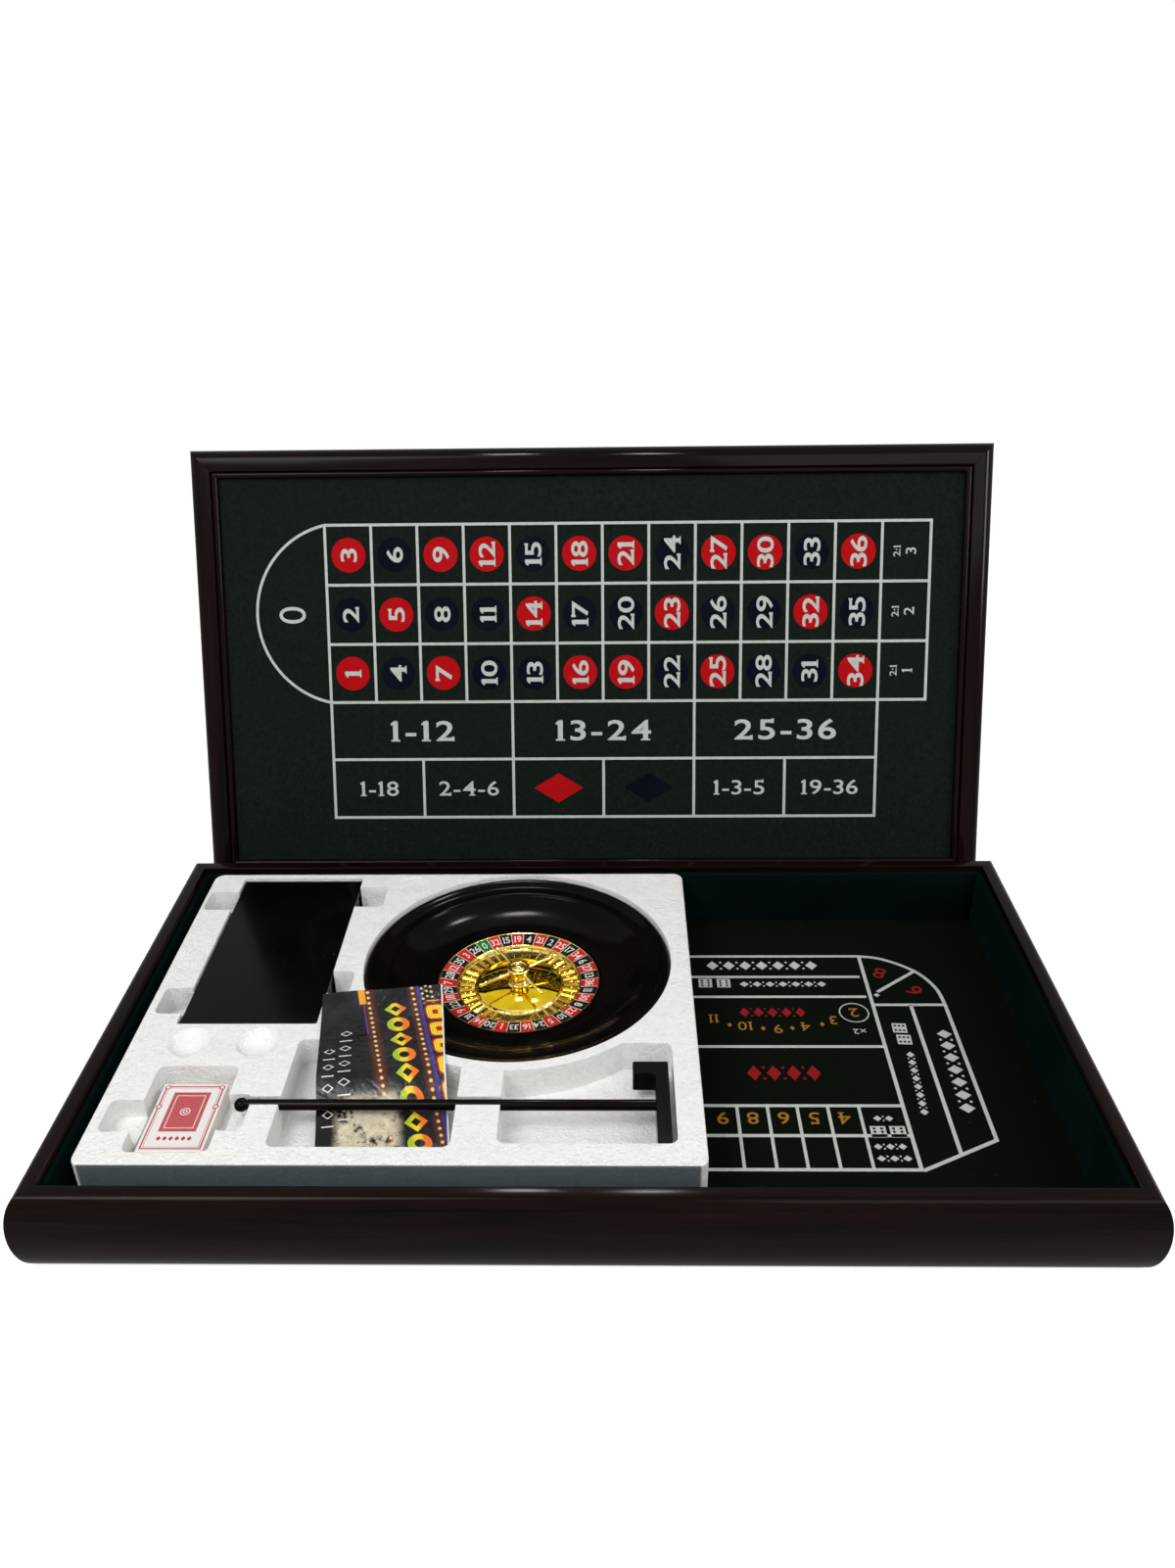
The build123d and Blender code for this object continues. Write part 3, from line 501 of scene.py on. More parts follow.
def card_print():
    """Back of a card carton: pale board, a ruled border and a lattice panel, drawn in millimetres."""
    def wire(tree):
        x, y, z = parts(mapped(here(tree), Location=CARTON_PLACE, Scale=(1000, 1000, 1000)))

        def inside(half_x, half_y, shift=0.0):
            return below(larger(abs(x) - half_x, abs(y - shift) - half_y), 0.0, 0.15)

        def ruled(half_x, half_y, width, shift=0.0):
            return inside(half_x, half_y, shift) - inside(half_x - width, half_y - width, shift)

        def circled(at_x, at_y, radius):
            reach = distance(abs(x) - at_x, y - at_y)
            return reach, below(reach, radius, 0.2)

        # Red panel with a fine lattice, one pale line inside it and a ringed disc in its middle
        crossed = smaller(abs(sine((x + y) * 2.1)), abs(sine((x - y) * 2.1)))
        lattice = between(crossed, 0.10, 0.30, 0.72, 1.0)
        radius, disc = circled(0.0, PANEL_SHIFT, 6.2)
        rings = between(sine(radius * 2.4), -0.2, 0.2, 0.15, 1.0)
        panel = without(inside(18.5, 27.0, PANEL_SHIFT) * lattice, ruled(14.6, 22.6, 0.8, PANEL_SHIFT))
        panel = either(panel * (1.0 - disc), disc * rings)
        # Double border broken by small roundels, and a row of lozenges near the lower end
        border = either(ruled(29.6, 43.0, 1.5), ruled(26.9, 40.4, 0.5))
        for knot_x, knot_y in ((27.4, 41.0), (28.2, PANEL_SHIFT + 7.0)):
            reach, knot = circled(knot_x, knot_y, 3.0)
            border = either(without(border, knot), knot * between(reach, 1.6, 1.9))
        slope = abs(fraction(x / 6.0) - 0.5) * 2.4 + abs(y + 29.0) / 3.4
        row = between(slope, 0.9, 1.0, 1.0, 0.0) * inside(18.0, 45.0)
        mask = either(either(panel, border), row) * between(z, -0.6, -0.4)
        polish = used(tree, "polish", Scale=30.0, Low=0.28, High=0.42)
        board = mixed(polish["Peel"], (0.80, 0.78, 0.75, 1), (0.70, 0.68, 0.65, 1))
        return {"Base Color": mixed(mask, board, CARTON_RED), "Roughness": polish["Roughness"],
                "Normal": bumped(polish["Peel"], 0.00005, 0.5)}
    return finish("carton_board", wire, Specular_IOR_Level=0.4)


BOOKLET_SIZE = (129.0, 206.0)
COVER_SLANT = 0.135


def booklet_print():
    """Dark glossy cover: lamps along two slanting lines, a column of rings and lozenges, a column of links.
    Drawn in millimetres from the upper left corner, by the cover's own map."""
    def wire(tree):
        share_across, share_down, _ = parts(field(tree, "ShaderNodeUVMap", 0, uv_map="page"))
        across, down = share_across * BOOKLET_SIZE[0], share_down * BOOKLET_SIZE[1]
        slant = across - down * COVER_SLANT
        place = here(tree)

        def strip(value, centre, half, soft=0.3):
            return below(abs(value - centre), half, soft)

        def cell(pitch, shift):
            """Distance down from the middle of one of the repeats."""
            return (fraction((down + shift) / pitch) - 0.5) * pitch

        def turns(pitch, shift):
            """0 and 1 in turn down the page."""
            return maths("MODULO", maths("FLOOR", (down + shift) / pitch), 2.0)

        def lamps(centre, radius, pitch, shift=0.0):
            found = distance(abs(slant - centre), cell(pitch, shift))
            return between(found, radius * 0.45, radius, 1.0, 0.0)

        def filled(found, edge):
            return between(found, edge - 0.04, edge, 1.0, 0.0)

        def ring(found, inner, outer):
            return filled(found, outer) - filled(found, inner)

        cloud = noise(place, 22.0, 4.0)
        colour = mixed(between(cloud, 0.45, 0.75), (0.0030, 0.0030, 0.0034, 1), (0.016, 0.014, 0.018, 1))
        # Two slanting lines of lamps in a warm glow, with a violet line beside each
        glow = strip(slant, 47.5, 5.5, 4.5) + strip(slant, 95.5, 4.5, 3.5)
        colour = mixed(glow * 0.55, colour, (0.17, 0.035, 0.008, 1))
        colour = mixed(strip(slant, 101.4, 1.9), colour, (0.045, 0.038, 0.24, 1))
        colour = mixed(strip(slant, 41.5, 0.7) * below(down, 67.0, 1.0), colour, (0.12, 0.04, 0.25, 1))
        lit = either(lamps(47.5, 2.3, 7.4), lamps(95.5, 2.3, 7.9, 2.0))
        head = below(down, 25.5, 1.5)
        for column, shift in ((105.5, 0.0), (110.5, 3.2), (115.5, 1.6)):
            lit = either(lit, lamps(column, 2.0, 7.4, shift) * head)
        colour = mixed(lit, colour, (0.82, 0.58, 0.32, 1))
        colour = mixed(strip(slant, 41.0, 3.6) * below(down, 19.5, 0.5), colour, (0.78, 0.34, 0.01, 1))
        # Middle column: rings and lozenges in turn, running from yellow green to orange
        start = between(down, 21.0, 22.0)
        dx, dy = abs(slant - 74.0) / 12.0, abs(cell(24.0, 6.0)) / 11.0
        which = turns(24.0, 6.0)
        found = distance(dx, dy) * (1.0 - which) + (dx + dy) * which
        bright = mixed(between(slant, 66.0, 82.0), (0.36, 0.52, 0.02, 1), (0.82, 0.17, 0.01, 1))
        bright = mixed(strip(slant, 73.0, 4.0, 2.5), bright, (0.84, 0.62, 0.02, 1))
        colour = mixed(ring(found, 0.44, 1.0) * start, colour, bright)
        # Right column: rounded yellow links edged in red
        dx, dy = abs(slant - 115.0) / 11.0, abs(cell(27.0, 1.0) / 12.6)
        found = (dx ** 4.0 + dy ** 4.0) ** 0.25
        colour = mixed(filled(found, 1.0) * start, colour, (0.40, 0.006, 0.012, 1))
        rows = between(sine(slant * 2.6), -0.5, 0.5)
        yellow = mixed(rows, (0.76, 0.42, 0.01, 1), (0.84, 0.70, 0.03, 1))
        colour = mixed(ring(found, 0.30, 0.84) * start, colour, yellow)
        # Two lines of thin pale strokes and lozenges down the left side
        lines = ((27.5, 6.4, 11.4, 52.0, 196.0), (11.5, 6.0, 11.8, 84.0, 172.0))
        for centre, half, pitch, first, last in lines:
            middle = abs(cell(pitch, 1.0))
            lozenge = abs(across - centre) / half + middle / 4.2
            bar = strip(across, centre, half) * below(middle, 0.65, 0.1)
            sign = mixed(turns(pitch, 1.0), bar, ring(lozenge, 0.74, 1.0))
            block = between(down, first, first + 1.0) * between(down, last, last + 1.0, 1.0, 0.0)
            colour = mixed(sign * block, colour, (0.70, 0.70, 0.68, 1))
        # Painted reflection: a pale gold gleam of the crumpled cover, in cloudy patches across the lower part
        low = between(down, 138.0, 150.0) * between(across, 88.0, 74.0) * between(across, 14.0, 26.0)
        reflection_patches = between(noise(place, 55.0, 6.0, 0.7), 0.38, 0.52)
        gilt = mixed(noise(place, 140.0, 4.0, 0.7), (0.26, 0.19, 0.07, 1), (0.92, 0.86, 0.68, 1))
        colour = mixed(low * reflection_patches, colour, gilt)
        colour = mixed(between(across, 127.2, 127.7), colour, (0.74, 0.74, 0.72, 1))
        cells = {"Vector": place, "Scale": 34.0}
        folds = field(tree, "ShaderNodeTexVoronoi", 0, cells, feature="DISTANCE_TO_EDGE")
        height = noise(place, 16.0, 5.0, 0.65) + between(folds, 0.0, 0.1) * 0.06
        return {"Base Color": colour, "Roughness": between(cloud, 0.3, 0.7, 0.14, 0.30),
                "Normal": bumped(height, 0.0040, 0.6)}
    return finish("booklet_cover", wire, Specular_IOR_Level=0.20)


def paper(name, base):
    def wire(tree):
        place = here(tree)
        leaves = waves(place, 900.0, 0.6, bands_direction="Z")
        cloud = noise(place, 60.0, 3.0)
        return {"Base Color": mixed((leaves + cloud) * 0.35, (*base, 1), scaled(base, 0.7)),
                "Roughness": between(cloud, 0.3, 0.7, 0.6, 0.85), "Normal": bumped(leaves, 0.00005, 0.6)}
    return finish(name, wire, Specular_IOR_Level=0.3)


def chip_edge(name, base):
    """Stacked chips: a groove between neighbours, darkened there as painted shade, and pale bars round each
    edge.
    """
    def wire(tree):
        x, y, _ = parts(here(tree))
        shaded_groove = between(abs(fraction(y * 302.0) - 0.5), 0.40, 0.48)
        bars = between(sine(x * 900.0), 0.55, 0.65)
        colour = mixed(bars * 0.7, (*base, 1), (0.75, 0.73, 0.70, 1))
        return {"Base Color": mixed(shaded_groove, colour, scaled(base, 0.35)),
                "Roughness": used(tree, "polish", Scale=40.0, Low=0.3, High=0.45)["Roughness"],
                "Normal": bumped(1.0 - shaded_groove, 0.0004, 0.8)}
    return finish(name, wire, Specular_IOR_Level=0.4)


def black_plastic():
    """Turned glossy plastic with the faint rings a mould leaves."""
    def wire(tree):
        place = here(tree)
        centred = mapped(place, Location=(-WHEEL_X / 1000, -WHEEL_Y / 1000, 0))
        rings = waves(centred, 210.0, 0.4, wave_type="RINGS", rings_direction="Z")
        polish = used(tree, "polish", Scale=10.0, Low=0.09, High=0.15)
        colour = mixed(patchy(place, 13.0), (0.0014, 0.0012, 0.0011, 1), (0.0032, 0.0024, 0.0020, 1))
        return {"Base Color": mixed(polish["Dust"] * 0.03, colour, (0.5, 0.45, 0.4, 1)),
                "Roughness": polish["Roughness"],
                "Normal": bumped(rings * 0.25 + polish["Peel"], 0.00003, 0.6)}
    return finish("wheel_black", wire, Specular_IOR_Level=0.045)


# ---------------------------------------------------------------- mesh helpers
def linked(name, mesh):
    """A new object in the scene, at the origin and unscaled."""
    made = bpy.data.objects.new(name, mesh)
    bpy.context.scene.collection.objects.link(made)
    return made


def shade(mesh, sharp):
    """Smooth faces with the edges over an angle kept sharp."""
    bm = bmesh.new()
    bm.from_mesh(mesh)
    for face in bm.faces:
        face.smooth = True
    for edge in bm.edges:
        edge.smooth = len(edge.link_faces) == 2 and edge.calc_face_angle(0.0) < math.radians(sharp)
    bm.to_mesh(mesh)
    bm.free()


def rounded(obj, width, segments=2, limit=34.0):
    """Bevel modifier on the sharp edges."""
    tool = obj.modifiers.new("rounded_edges", "BEVEL")
    tool.width = width
    tool.segments = segments
    tool.limit_method = "ANGLE"
    tool.angle_limit = math.radians(limit)
    tool.harden_normals = True


def piece(name, bm, finishes, body, stands_for=(), sharp=34.0, matrix=MM):
    """A named piece from a mesh in millimetres: placed, shaded, finished and riding on its body."""
    mesh = bpy.data.meshes.new(name)
    bmesh.ops.transform(bm, matrix=matrix, verts=bm.verts)
    bm.to_mesh(mesh)
    bm.free()
    shade(mesh, sharp)
    for made in finishes:
        mesh.materials.append(made)
    obj = linked(name, mesh)
    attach(obj, body)
    if stands_for:
        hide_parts(*stands_for)
    return obj


def dressed(node_name, made, body, bevel=0.0, segments=2, sharp=34.0):
    """A merged copy of a CAD node that stands for it, smooth over its curves and eased at its edges."""
    bm = bmesh.new()
    bm.from_mesh(NODES[node_name].data)
    bmesh.ops.remove_doubles(bm, verts=bm.verts, dist=2e-6)
    bmesh.ops.dissolve_limit(bm, angle_limit=math.radians(0.4), verts=bm.verts, edges=bm.edges)
    obj = piece(node_name + "_dressed", bm, [made], body, [node_name], sharp, Matrix.Identity(4))
    if bevel:
        rounded(obj, bevel, segments)


def carried(made, *names):
    """A better finish on CAD nodes that stay as they are."""
    for node_name in names:
        obj = NODES[node_name]
        if not obj.material_slots:
            obj.data.materials.append(made)
        for holder in obj.material_slots:
            holder.material = made


def fair(points, steps=6):
    """Points of a smooth line through the given ones."""
    found = []
    for i in range(len(points) - 1):
        a, b, c, d = (Vector(points[min(max(i + k, 0), len(points) - 1)]) for k in (-1, 0, 1, 2))
        for step in range(steps):
            t = step / steps
            bend = (2 * a - 5 * b + 4 * c - d) * t * t + (3 * b - a - 3 * c + d) * t ** 3
            found.append(tuple(0.5 * (2 * b + (c - a) * t + bend)))
    return found + [tuple(points[-1])]


def half_ellipse(middle, bulge, half, steps=40):
    """Outer line of a swelled moulding, from its lower edge to its upper one."""
    turns = [math.radians(-90 + 180 * i / steps) for i in range(steps + 1)]
    return [(bulge * math.cos(a), middle + half * math.sin(a)) for a in turns]


def arc(centre, radius, start, end, steps):
    """Points of an arc between two angles in degrees."""
    turns = [math.radians(start + (end - start) * i / steps) for i in range(steps + 1)]
    return [(centre[0] + radius * math.cos(a), centre[1] + radius * math.sin(a)) for a in turns]


def mitred_bar(outline, side, cuts=0):
    """A bar of one side of the frame. The outline is (outward from the rim's edge, height)."""
    along_x = side in ("front", "back")
    sign = 1 if side in ("back", "right") else -1
    reach, run = (HALF_WIDTH, HALF_LENGTH) if along_x else (HALF_LENGTH, HALF_WIDTH)
    bm = bmesh.new()
    corners = []
    for out, height in outline:
        across = sign * (reach + out)
        end = -(run + out)
        corners.append(bm.verts.new((end, across, height) if along_x else (across, end, height)))
    first = bm.faces.new(corners)
    grown = bmesh.ops.extrude_face_region(bm, geom=[first])["geom"]
    for vert in (g for g in grown if isinstance(g, bmesh.types.BMVert)):
        if along_x:
            vert.co.x = -vert.co.x
        else:
            vert.co.y = -vert.co.y
    if cuts:
        axis = 0 if along_x else 1
        runs = [e for e in bm.edges if abs((e.verts[0].co - e.verts[1].co)[axis]) > run]
        bmesh.ops.subdivide_edges(bm, edges=runs, cuts=cuts, use_grid_fill=True)
    bmesh.ops.recalc_face_normals(bm, faces=bm.faces)
    return bm


def spun(outline, steps=128, closed=True):
    """A turned shape from its outline of (radius, height), about Z."""
    bm = bmesh.new()
    verts = [bm.verts.new((max(r, 0.0), 0, z)) for r, z in outline]
    edges = [bm.edges.new((verts[i], verts[i + 1])) for i in range(len(verts) - 1)]
    if closed:
        edges.append(bm.edges.new((verts[-1], verts[0])))
    bmesh.ops.spin(bm, geom=verts + edges, axis=(0, 0, 1), cent=(0, 0, 0), angle=2 * math.pi, steps=steps,
                   use_merge=True)
    bmesh.ops.remove_doubles(bm, verts=bm.verts, dist=1e-4)
    flat = [e for e in bm.edges if not e.link_faces]
    bmesh.ops.delete(bm, geom=flat, context="EDGES")
    bmesh.ops.recalc_face_normals(bm, faces=bm.faces)
    return bm


def joined(bm, other, matrix=Matrix.Identity(4)):
    """Adds a copy of another mesh, moved, to a bmesh."""
    copy = other.copy()
    copy.transform(matrix)
    bm.from_mesh(copy)
    bpy.data.meshes.remove(copy)


def kept(bm, name):
    """A bmesh stored as a mesh, and freed."""
    mesh = bpy.data.meshes.new(name)
    bm.to_mesh(mesh)
    bm.free()
    return mesh


def raised(bm, faces, low, high):
    """Flat faces at z 0 made into a thin closed plate between two heights."""
    grown = bmesh.ops.extrude_face_region(bm, geom=faces)["geom"]
    top = [g for g in grown if isinstance(g, bmesh.types.BMVert)]
    for vert in top:
        vert.co.z = high
    upper = set(top)
    for face in faces:
        for vert in face.verts:
            if vert not in upper:
                vert.co.z = low


STENCILS = {}
STENCIL_CORNERS = {"disc": 48, "pip": 14, "lozenge": 4}
# Height of the built-in face's 0 and of its middle, at size 1
DIGIT_HEIGHT = 0.728
DIGIT_MIDDLE = 0.353
# Slab ends added to digits: where they hang, then outlines from there in digit heights
FOOT = ((-0.15, 0.0), (0.15, 0.0), (0.15, 0.075), (-0.15, 0.075))
FLAG = ((-0.15, 0.76), (0.02, 0.80), (0.04, 1.0), (-0.15, 0.86))
SLABS = {"1": (("foot", FOOT), ("foot", FLAG)), "4": (("foot", FOOT),),
         "7": (("left", ((0.0, 0.74), (0.085, 0.74), (0.085, 1.0), (0.0, 1.0))),),
         "2": (("right", ((-0.085, 0.0), (0.0, 0.0), (0.0, 0.22), (-0.085, 0.22))),),
         "5": (("right_top", ((-0.075, 0.78), (0.0, 0.78), (0.0, 1.0), (-0.075, 1.0))),)}


def slab_end(bm, where, outline):
    """A slab end on a digit that stands on z 0, a little lower than the digit so that no faces meet."""
    flat = [v.co for v in bm.verts]
    if where == "foot":
        lowest = min(p.y for p in flat)
        stem = [p.x for p in flat if p.y < lowest + 0.02]
        x = (min(stem) + max(stem)) / 2
    elif where == "left":
        x = min(p.x for p in flat)
    else:
        x = max(p.x for p in flat if (p.y > 0.35 if where == "right_top" else p.y < -0.42))
    corners = [bm.verts.new((x + a, b - 0.5, 0)) for a, b in outline]
    raised(bm, [bm.faces.new(corners)], 0.0, 0.85)


def sign_outline(bm, bold, sign):
    """Flat faces of a sign from the built-in face, with digits 1 tall."""
    curve = bpy.data.curves.new("numeral", "FONT")
    curve.body = sign
    curve.offset = bold
    curve.resolution_u = 4
    holder = bpy.data.objects.new("numeral", curve)
    flat = bpy.data.meshes.new_from_object(holder)
    bm.from_mesh(flat)
    bpy.data.objects.remove(holder)
    bpy.data.curves.remove(curve)
    bpy.data.meshes.remove(flat)
    bmesh.ops.remove_doubles(bm, verts=bm.verts, dist=1e-5)
    tall = DIGIT_HEIGHT + 2 * bold
    bmesh.ops.translate(bm, vec=(0, -DIGIT_MIDDLE, 0), verts=bm.verts)
    bmesh.ops.scale(bm, vec=(1 / tall, 1 / tall, 1), verts=bm.verts)


def stencil(kind):
    """A closed plate of unit size from z 0 to 1: a disc, a pip, a lozenge, a square or a sign."""
    if kind in STENCILS:
        return STENCILS[kind]
    bm = bmesh.new()
    if kind in STENCIL_CORNERS:
        bmesh.ops.create_circle(bm, cap_ends=True, radius=0.5, segments=STENCIL_CORNERS[kind])
    elif kind == "square":
        bmesh.ops.create_grid(bm, x_segments=1, y_segments=1, size=0.5)
    else:
        sign_outline(bm, *kind)
    raised(bm, bm.faces[:], 0.0, 1.0)
    if isinstance(kind, tuple):
        for where, outline in SLABS.get(kind[1], ()):
            slab_end(bm, where, outline)
    bmesh.ops.recalc_face_normals(bm, faces=bm.faces)
    STENCILS[kind] = kept(bm, "stencil")
    return STENCILS[kind]


def set_down(place, size, low, high, turn):
    """Where a plate of unit size goes on a flat face, turned anticlockwise by degrees."""
    matrix = Matrix.Translation((place[0], place[1], low)) @ Matrix.Rotation(math.radians(turn), 4, "Z")
    return matrix @ Matrix.Diagonal((size[0], size[1], high - low, 1))


def stamp(bm, kind, place, size, low, high, turn=0.0):
    """A stencil on a flat face."""
    joined(bm, stencil(kind), set_down(place, size, low, high, turn))


def spelled(bm, words, matrix, bold=0.014, gap=0.10):
    """Signs side by side in one line of unit height, centred on the matrix's place."""
    line, run = [], 0.0
    for sign in str(words):
        plate = stencil((bold, sign))
        left, right = (pick(v.co.x for v in plate.vertices) for pick in (min, max))
        line.append((plate, run - left))
        run += right - left + gap
    for plate, shift in line:
        joined(bm, plate, matrix @ Matrix.Translation((shift - (run - gap) / 2, 0, 0)))


def numeral(bm, words, place, height, low, high, turn=0.0, bold=0.014, wide=1.0, gap=0.10):
    """A number or sign of a given height set at a place on a flat face."""
    spelled(bm, words, set_down(place, (height * wide, height), low, high, turn), bold, gap)


def ribbon(bm, points, width, low, high, closed=False):
    """A printed line of one width along flat points."""
    count = len(points)
    left, right = [], []
    for i in range(count):
        spot = Vector(points[i])
        before = Vector(points[i - 1]) if (i or closed) else spot
        after = Vector(points[(i + 1) % count]) if (i < count - 1 or closed) else spot
        way_in = (spot - before).normalized() if before != spot else (after - spot).normalized()
        way_out = (after - spot).normalized() if after != spot else way_in
        across = Vector((-(way_in + way_out).y, (way_in + way_out).x)).normalized()
        reach = width / 2 / max(across.dot(Vector((-way_in.y, way_in.x))), 0.5)
        left.append(bm.verts.new((*(spot + across * reach), 0)))
        right.append(bm.verts.new((*(spot - across * reach), 0)))
    faces = []
    for i in range(count if closed else count - 1):
        j = (i + 1) % count
        faces.append(bm.faces.new((left[i], right[i], right[j], left[j])))
    raised(bm, faces, low, high)


def printed(name, bm, made, body, matrix):
    """A print as one piece that lies on a cloth."""
    bmesh.ops.recalc_face_normals(bm, faces=bm.faces)
    piece(name, bm, [made], body, matrix=matrix)


def rails(prefix, outline, finishes, body, sides=SIDES, sharp=30.0, matrix=MM, ease=0.0):
    """Mitred bars round the frame that stand for the CAD bars of the same names."""
    for side in sides:
        name = prefix + side
        bar = mitred_bar(outline, side)
        obj = piece(name + "_turned", bar, [finishes[side]], body, [name], sharp, matrix)
        if ease:
            rounded(obj, ease, 1, 40)


def laid_cloth(name, made, body, stands_for, inset, middle_y, matrix):
    """A cloth stretched flat between the rails, a given inset inside the rim's edge."""
    half_x, half_y = (half - inset - CLOTH_GAP for half in (HALF_LENGTH, HALF_WIDTH))
    bm = bmesh.new()
    bmesh.ops.create_grid(bm, x_segments=48, y_segments=26, size=1.0)
    bmesh.ops.scale(bm, vec=(half_x, half_y, 1), verts=bm.verts)
    bmesh.ops.translate(bm, vec=(0, middle_y, 0), verts=bm.verts)
    raised(bm, bm.faces[:], -CLOTH, 0.0)
    bmesh.ops.recalc_face_normals(bm, faces=bm.faces)
    cloth = piece(name, bm, [made], body, [stands_for], matrix=matrix)


# ---------------------------------------------------------------- case
def case_outline():
    """Section of the case's moulding as (outward from the rim's edge, height)."""
    top = CASE_HEIGHT
    corner = arc((-RIM_FLAT + CORNER_ROUND, top - CORNER_ROUND), CORNER_ROUND, 90, 180, 3)
    rebate = [(-RIM_FLAT, BASE_THICKNESS), (-RIM_FLAT + BASE_REBATE, BASE_THICKNESS),
              (-RIM_FLAT + BASE_REBATE, 0)]
    return half_ellipse(top / 2, BULGE, top / 2) + corner + rebate


GRAIN_ALONG_Y = (0, 0, math.pi / 2)
LID_TURN = (-math.radians(OPENING_TURN), 0, 0)
# The back rails keep the hinges' cuts, so they are dressed from the CAD
PLAIN_SIDES = ("front", "left", "right")


def along_sides(along_x, along_y):
    """Finishes of the four bars, with the grain along each."""
    return {"front": along_x, "back": along_x, "left": along_y, "right": along_y}


class ROULETTE_OT_case(bpy.types.Operator):
    """Swelled and mitred rails, base board, corner keys and screws"""
    bl_idname = "roulette.case"
    bl_label = "Case"

    def execute(self, context):
        along_x = lacquered_wood("case_lacquer")
        finishes = along_sides(along_x, lacquered_wood("case_lacquer_side", GRAIN_ALONG_Y))
        edge = sizes().edge
        rails("case_rail_", case_outline(), finishes, "case", PLAIN_SIDES, ease=edge / 2)
        dressed("case_rail_back", along_x, "case", edge / 2, 1, 30.0)
        raw = lacquered_wood("joint_wood", stretch=(40, 40, 4), dark=(0.02, 0.008, 0.005, 1),
                             warm=(0.05, 0.02, 0.012, 1))
        board = lacquered_wood("base_wood", stretch=(4, 60, 60), dark=(0.006, 0.005, 0.005, 1),
                               warm=(0.012, 0.009, 0.008, 1))
        steel = plain_metal("screw_steel", (0.42, 0.42, 0.43), (0.55, 0.55, 0.56), 0.25, 0.4, 60.0)
        carried(raw, "case_corner_splines", "lid_corner_splines")
        carried(steel, "base_screws")
        dressed("base_board", board, "case", edge)
        return {"FINISHED"}


class ROULETTE_OT_hinges(bpy.types.Operator):
    """Two brass strap hinges let into the back"""
    bl_idname = "roulette.hinges"
    bl_label = "Hinges"

    def execute(self, context):
        brass = plain_metal("hinge_brass", (0.50, 0.34, 0.12), (0.62, 0.45, 0.18), 0.22, 0.38, 40.0)
        members = (("case_hinge_leaf_", "case"), ("hinge_pin_", "case"), ("lid_hinge_strap_", "lid"))
        for hand in ("left", "right"):
            for prefix, body in members:
                dressed(prefix + hand, brass, body, 0.0003)
        carried(brass, "case_hinge_screws", "lid_hinge_screws")
        return {"FINISHED"}


def rippled(bar, axis, low, high):
    """Soft waves along a wall pad's face, fading to its edges."""
    wall = HALF_WIDTH if axis == 0 else HALF_LENGTH
    for vert in bar.verts:
        if abs(vert.co[1 - axis]) - wall < -RIM_FLAT - 3:
            along, height = vert.co[axis], vert.co.z
            wave = math.sin(along * 0.043 + height * 0.06) + 0.6 * math.sin(along * 0.117 + 1.3)
            fade = min(1.0, (height - low) / 12) * min(1.0, (high - height) / 12)
            vert.co[1 - axis] += 0.16 * wave * fade * (1 if vert.co[1 - axis] > 0 else -1)


class ROULETTE_OT_lining(bpy.types.Operator):
    """Velvet pads on the walls and the cloth on the floor"""
    bl_idname = "roulette.lining"
    bl_label = "Lining"

    def execute(self, context):
        foot, middle, top = PAD_THICK
        low, high = FLOOR + 0.05, PAD_TOP_Z
        face = fair([(-RIM_FLAT - foot, low), (-RIM_FLAT - middle, low + 18),
                     (-RIM_FLAT - middle - 0.2, (low + high) / 2),
                     (-RIM_FLAT - middle + 0.3, high - 14), (-RIM_FLAT - top, high - PAD_ROLL)], 5)
        roll = arc((-RIM_FLAT - top + PAD_ROLL, high - PAD_ROLL), PAD_ROLL, 180, 90, 5)
        outline = [(-RIM_FLAT, low)] + face[:-1] + roll + [(-RIM_FLAT, high)]
        for side in SIDES:
            bar = mitred_bar(outline, side, 60)
            rippled(bar, 0 if side in ("front", "back") else 1, low, high)
            name = "wall_pad_" + side
            obj = piece(name + "_velvet", bar, [velvet()], "case", [name], 50.0)
        made = baize("floor_baize", colours().floor_baize, (0, 0, 0), 0.01)
        laid_cloth("floor_cloth_baize", made, "case", "floor_cloth", RIM_FLAT,
                   0.0, FLOOR_FACE)
        return {"FINISHED"}


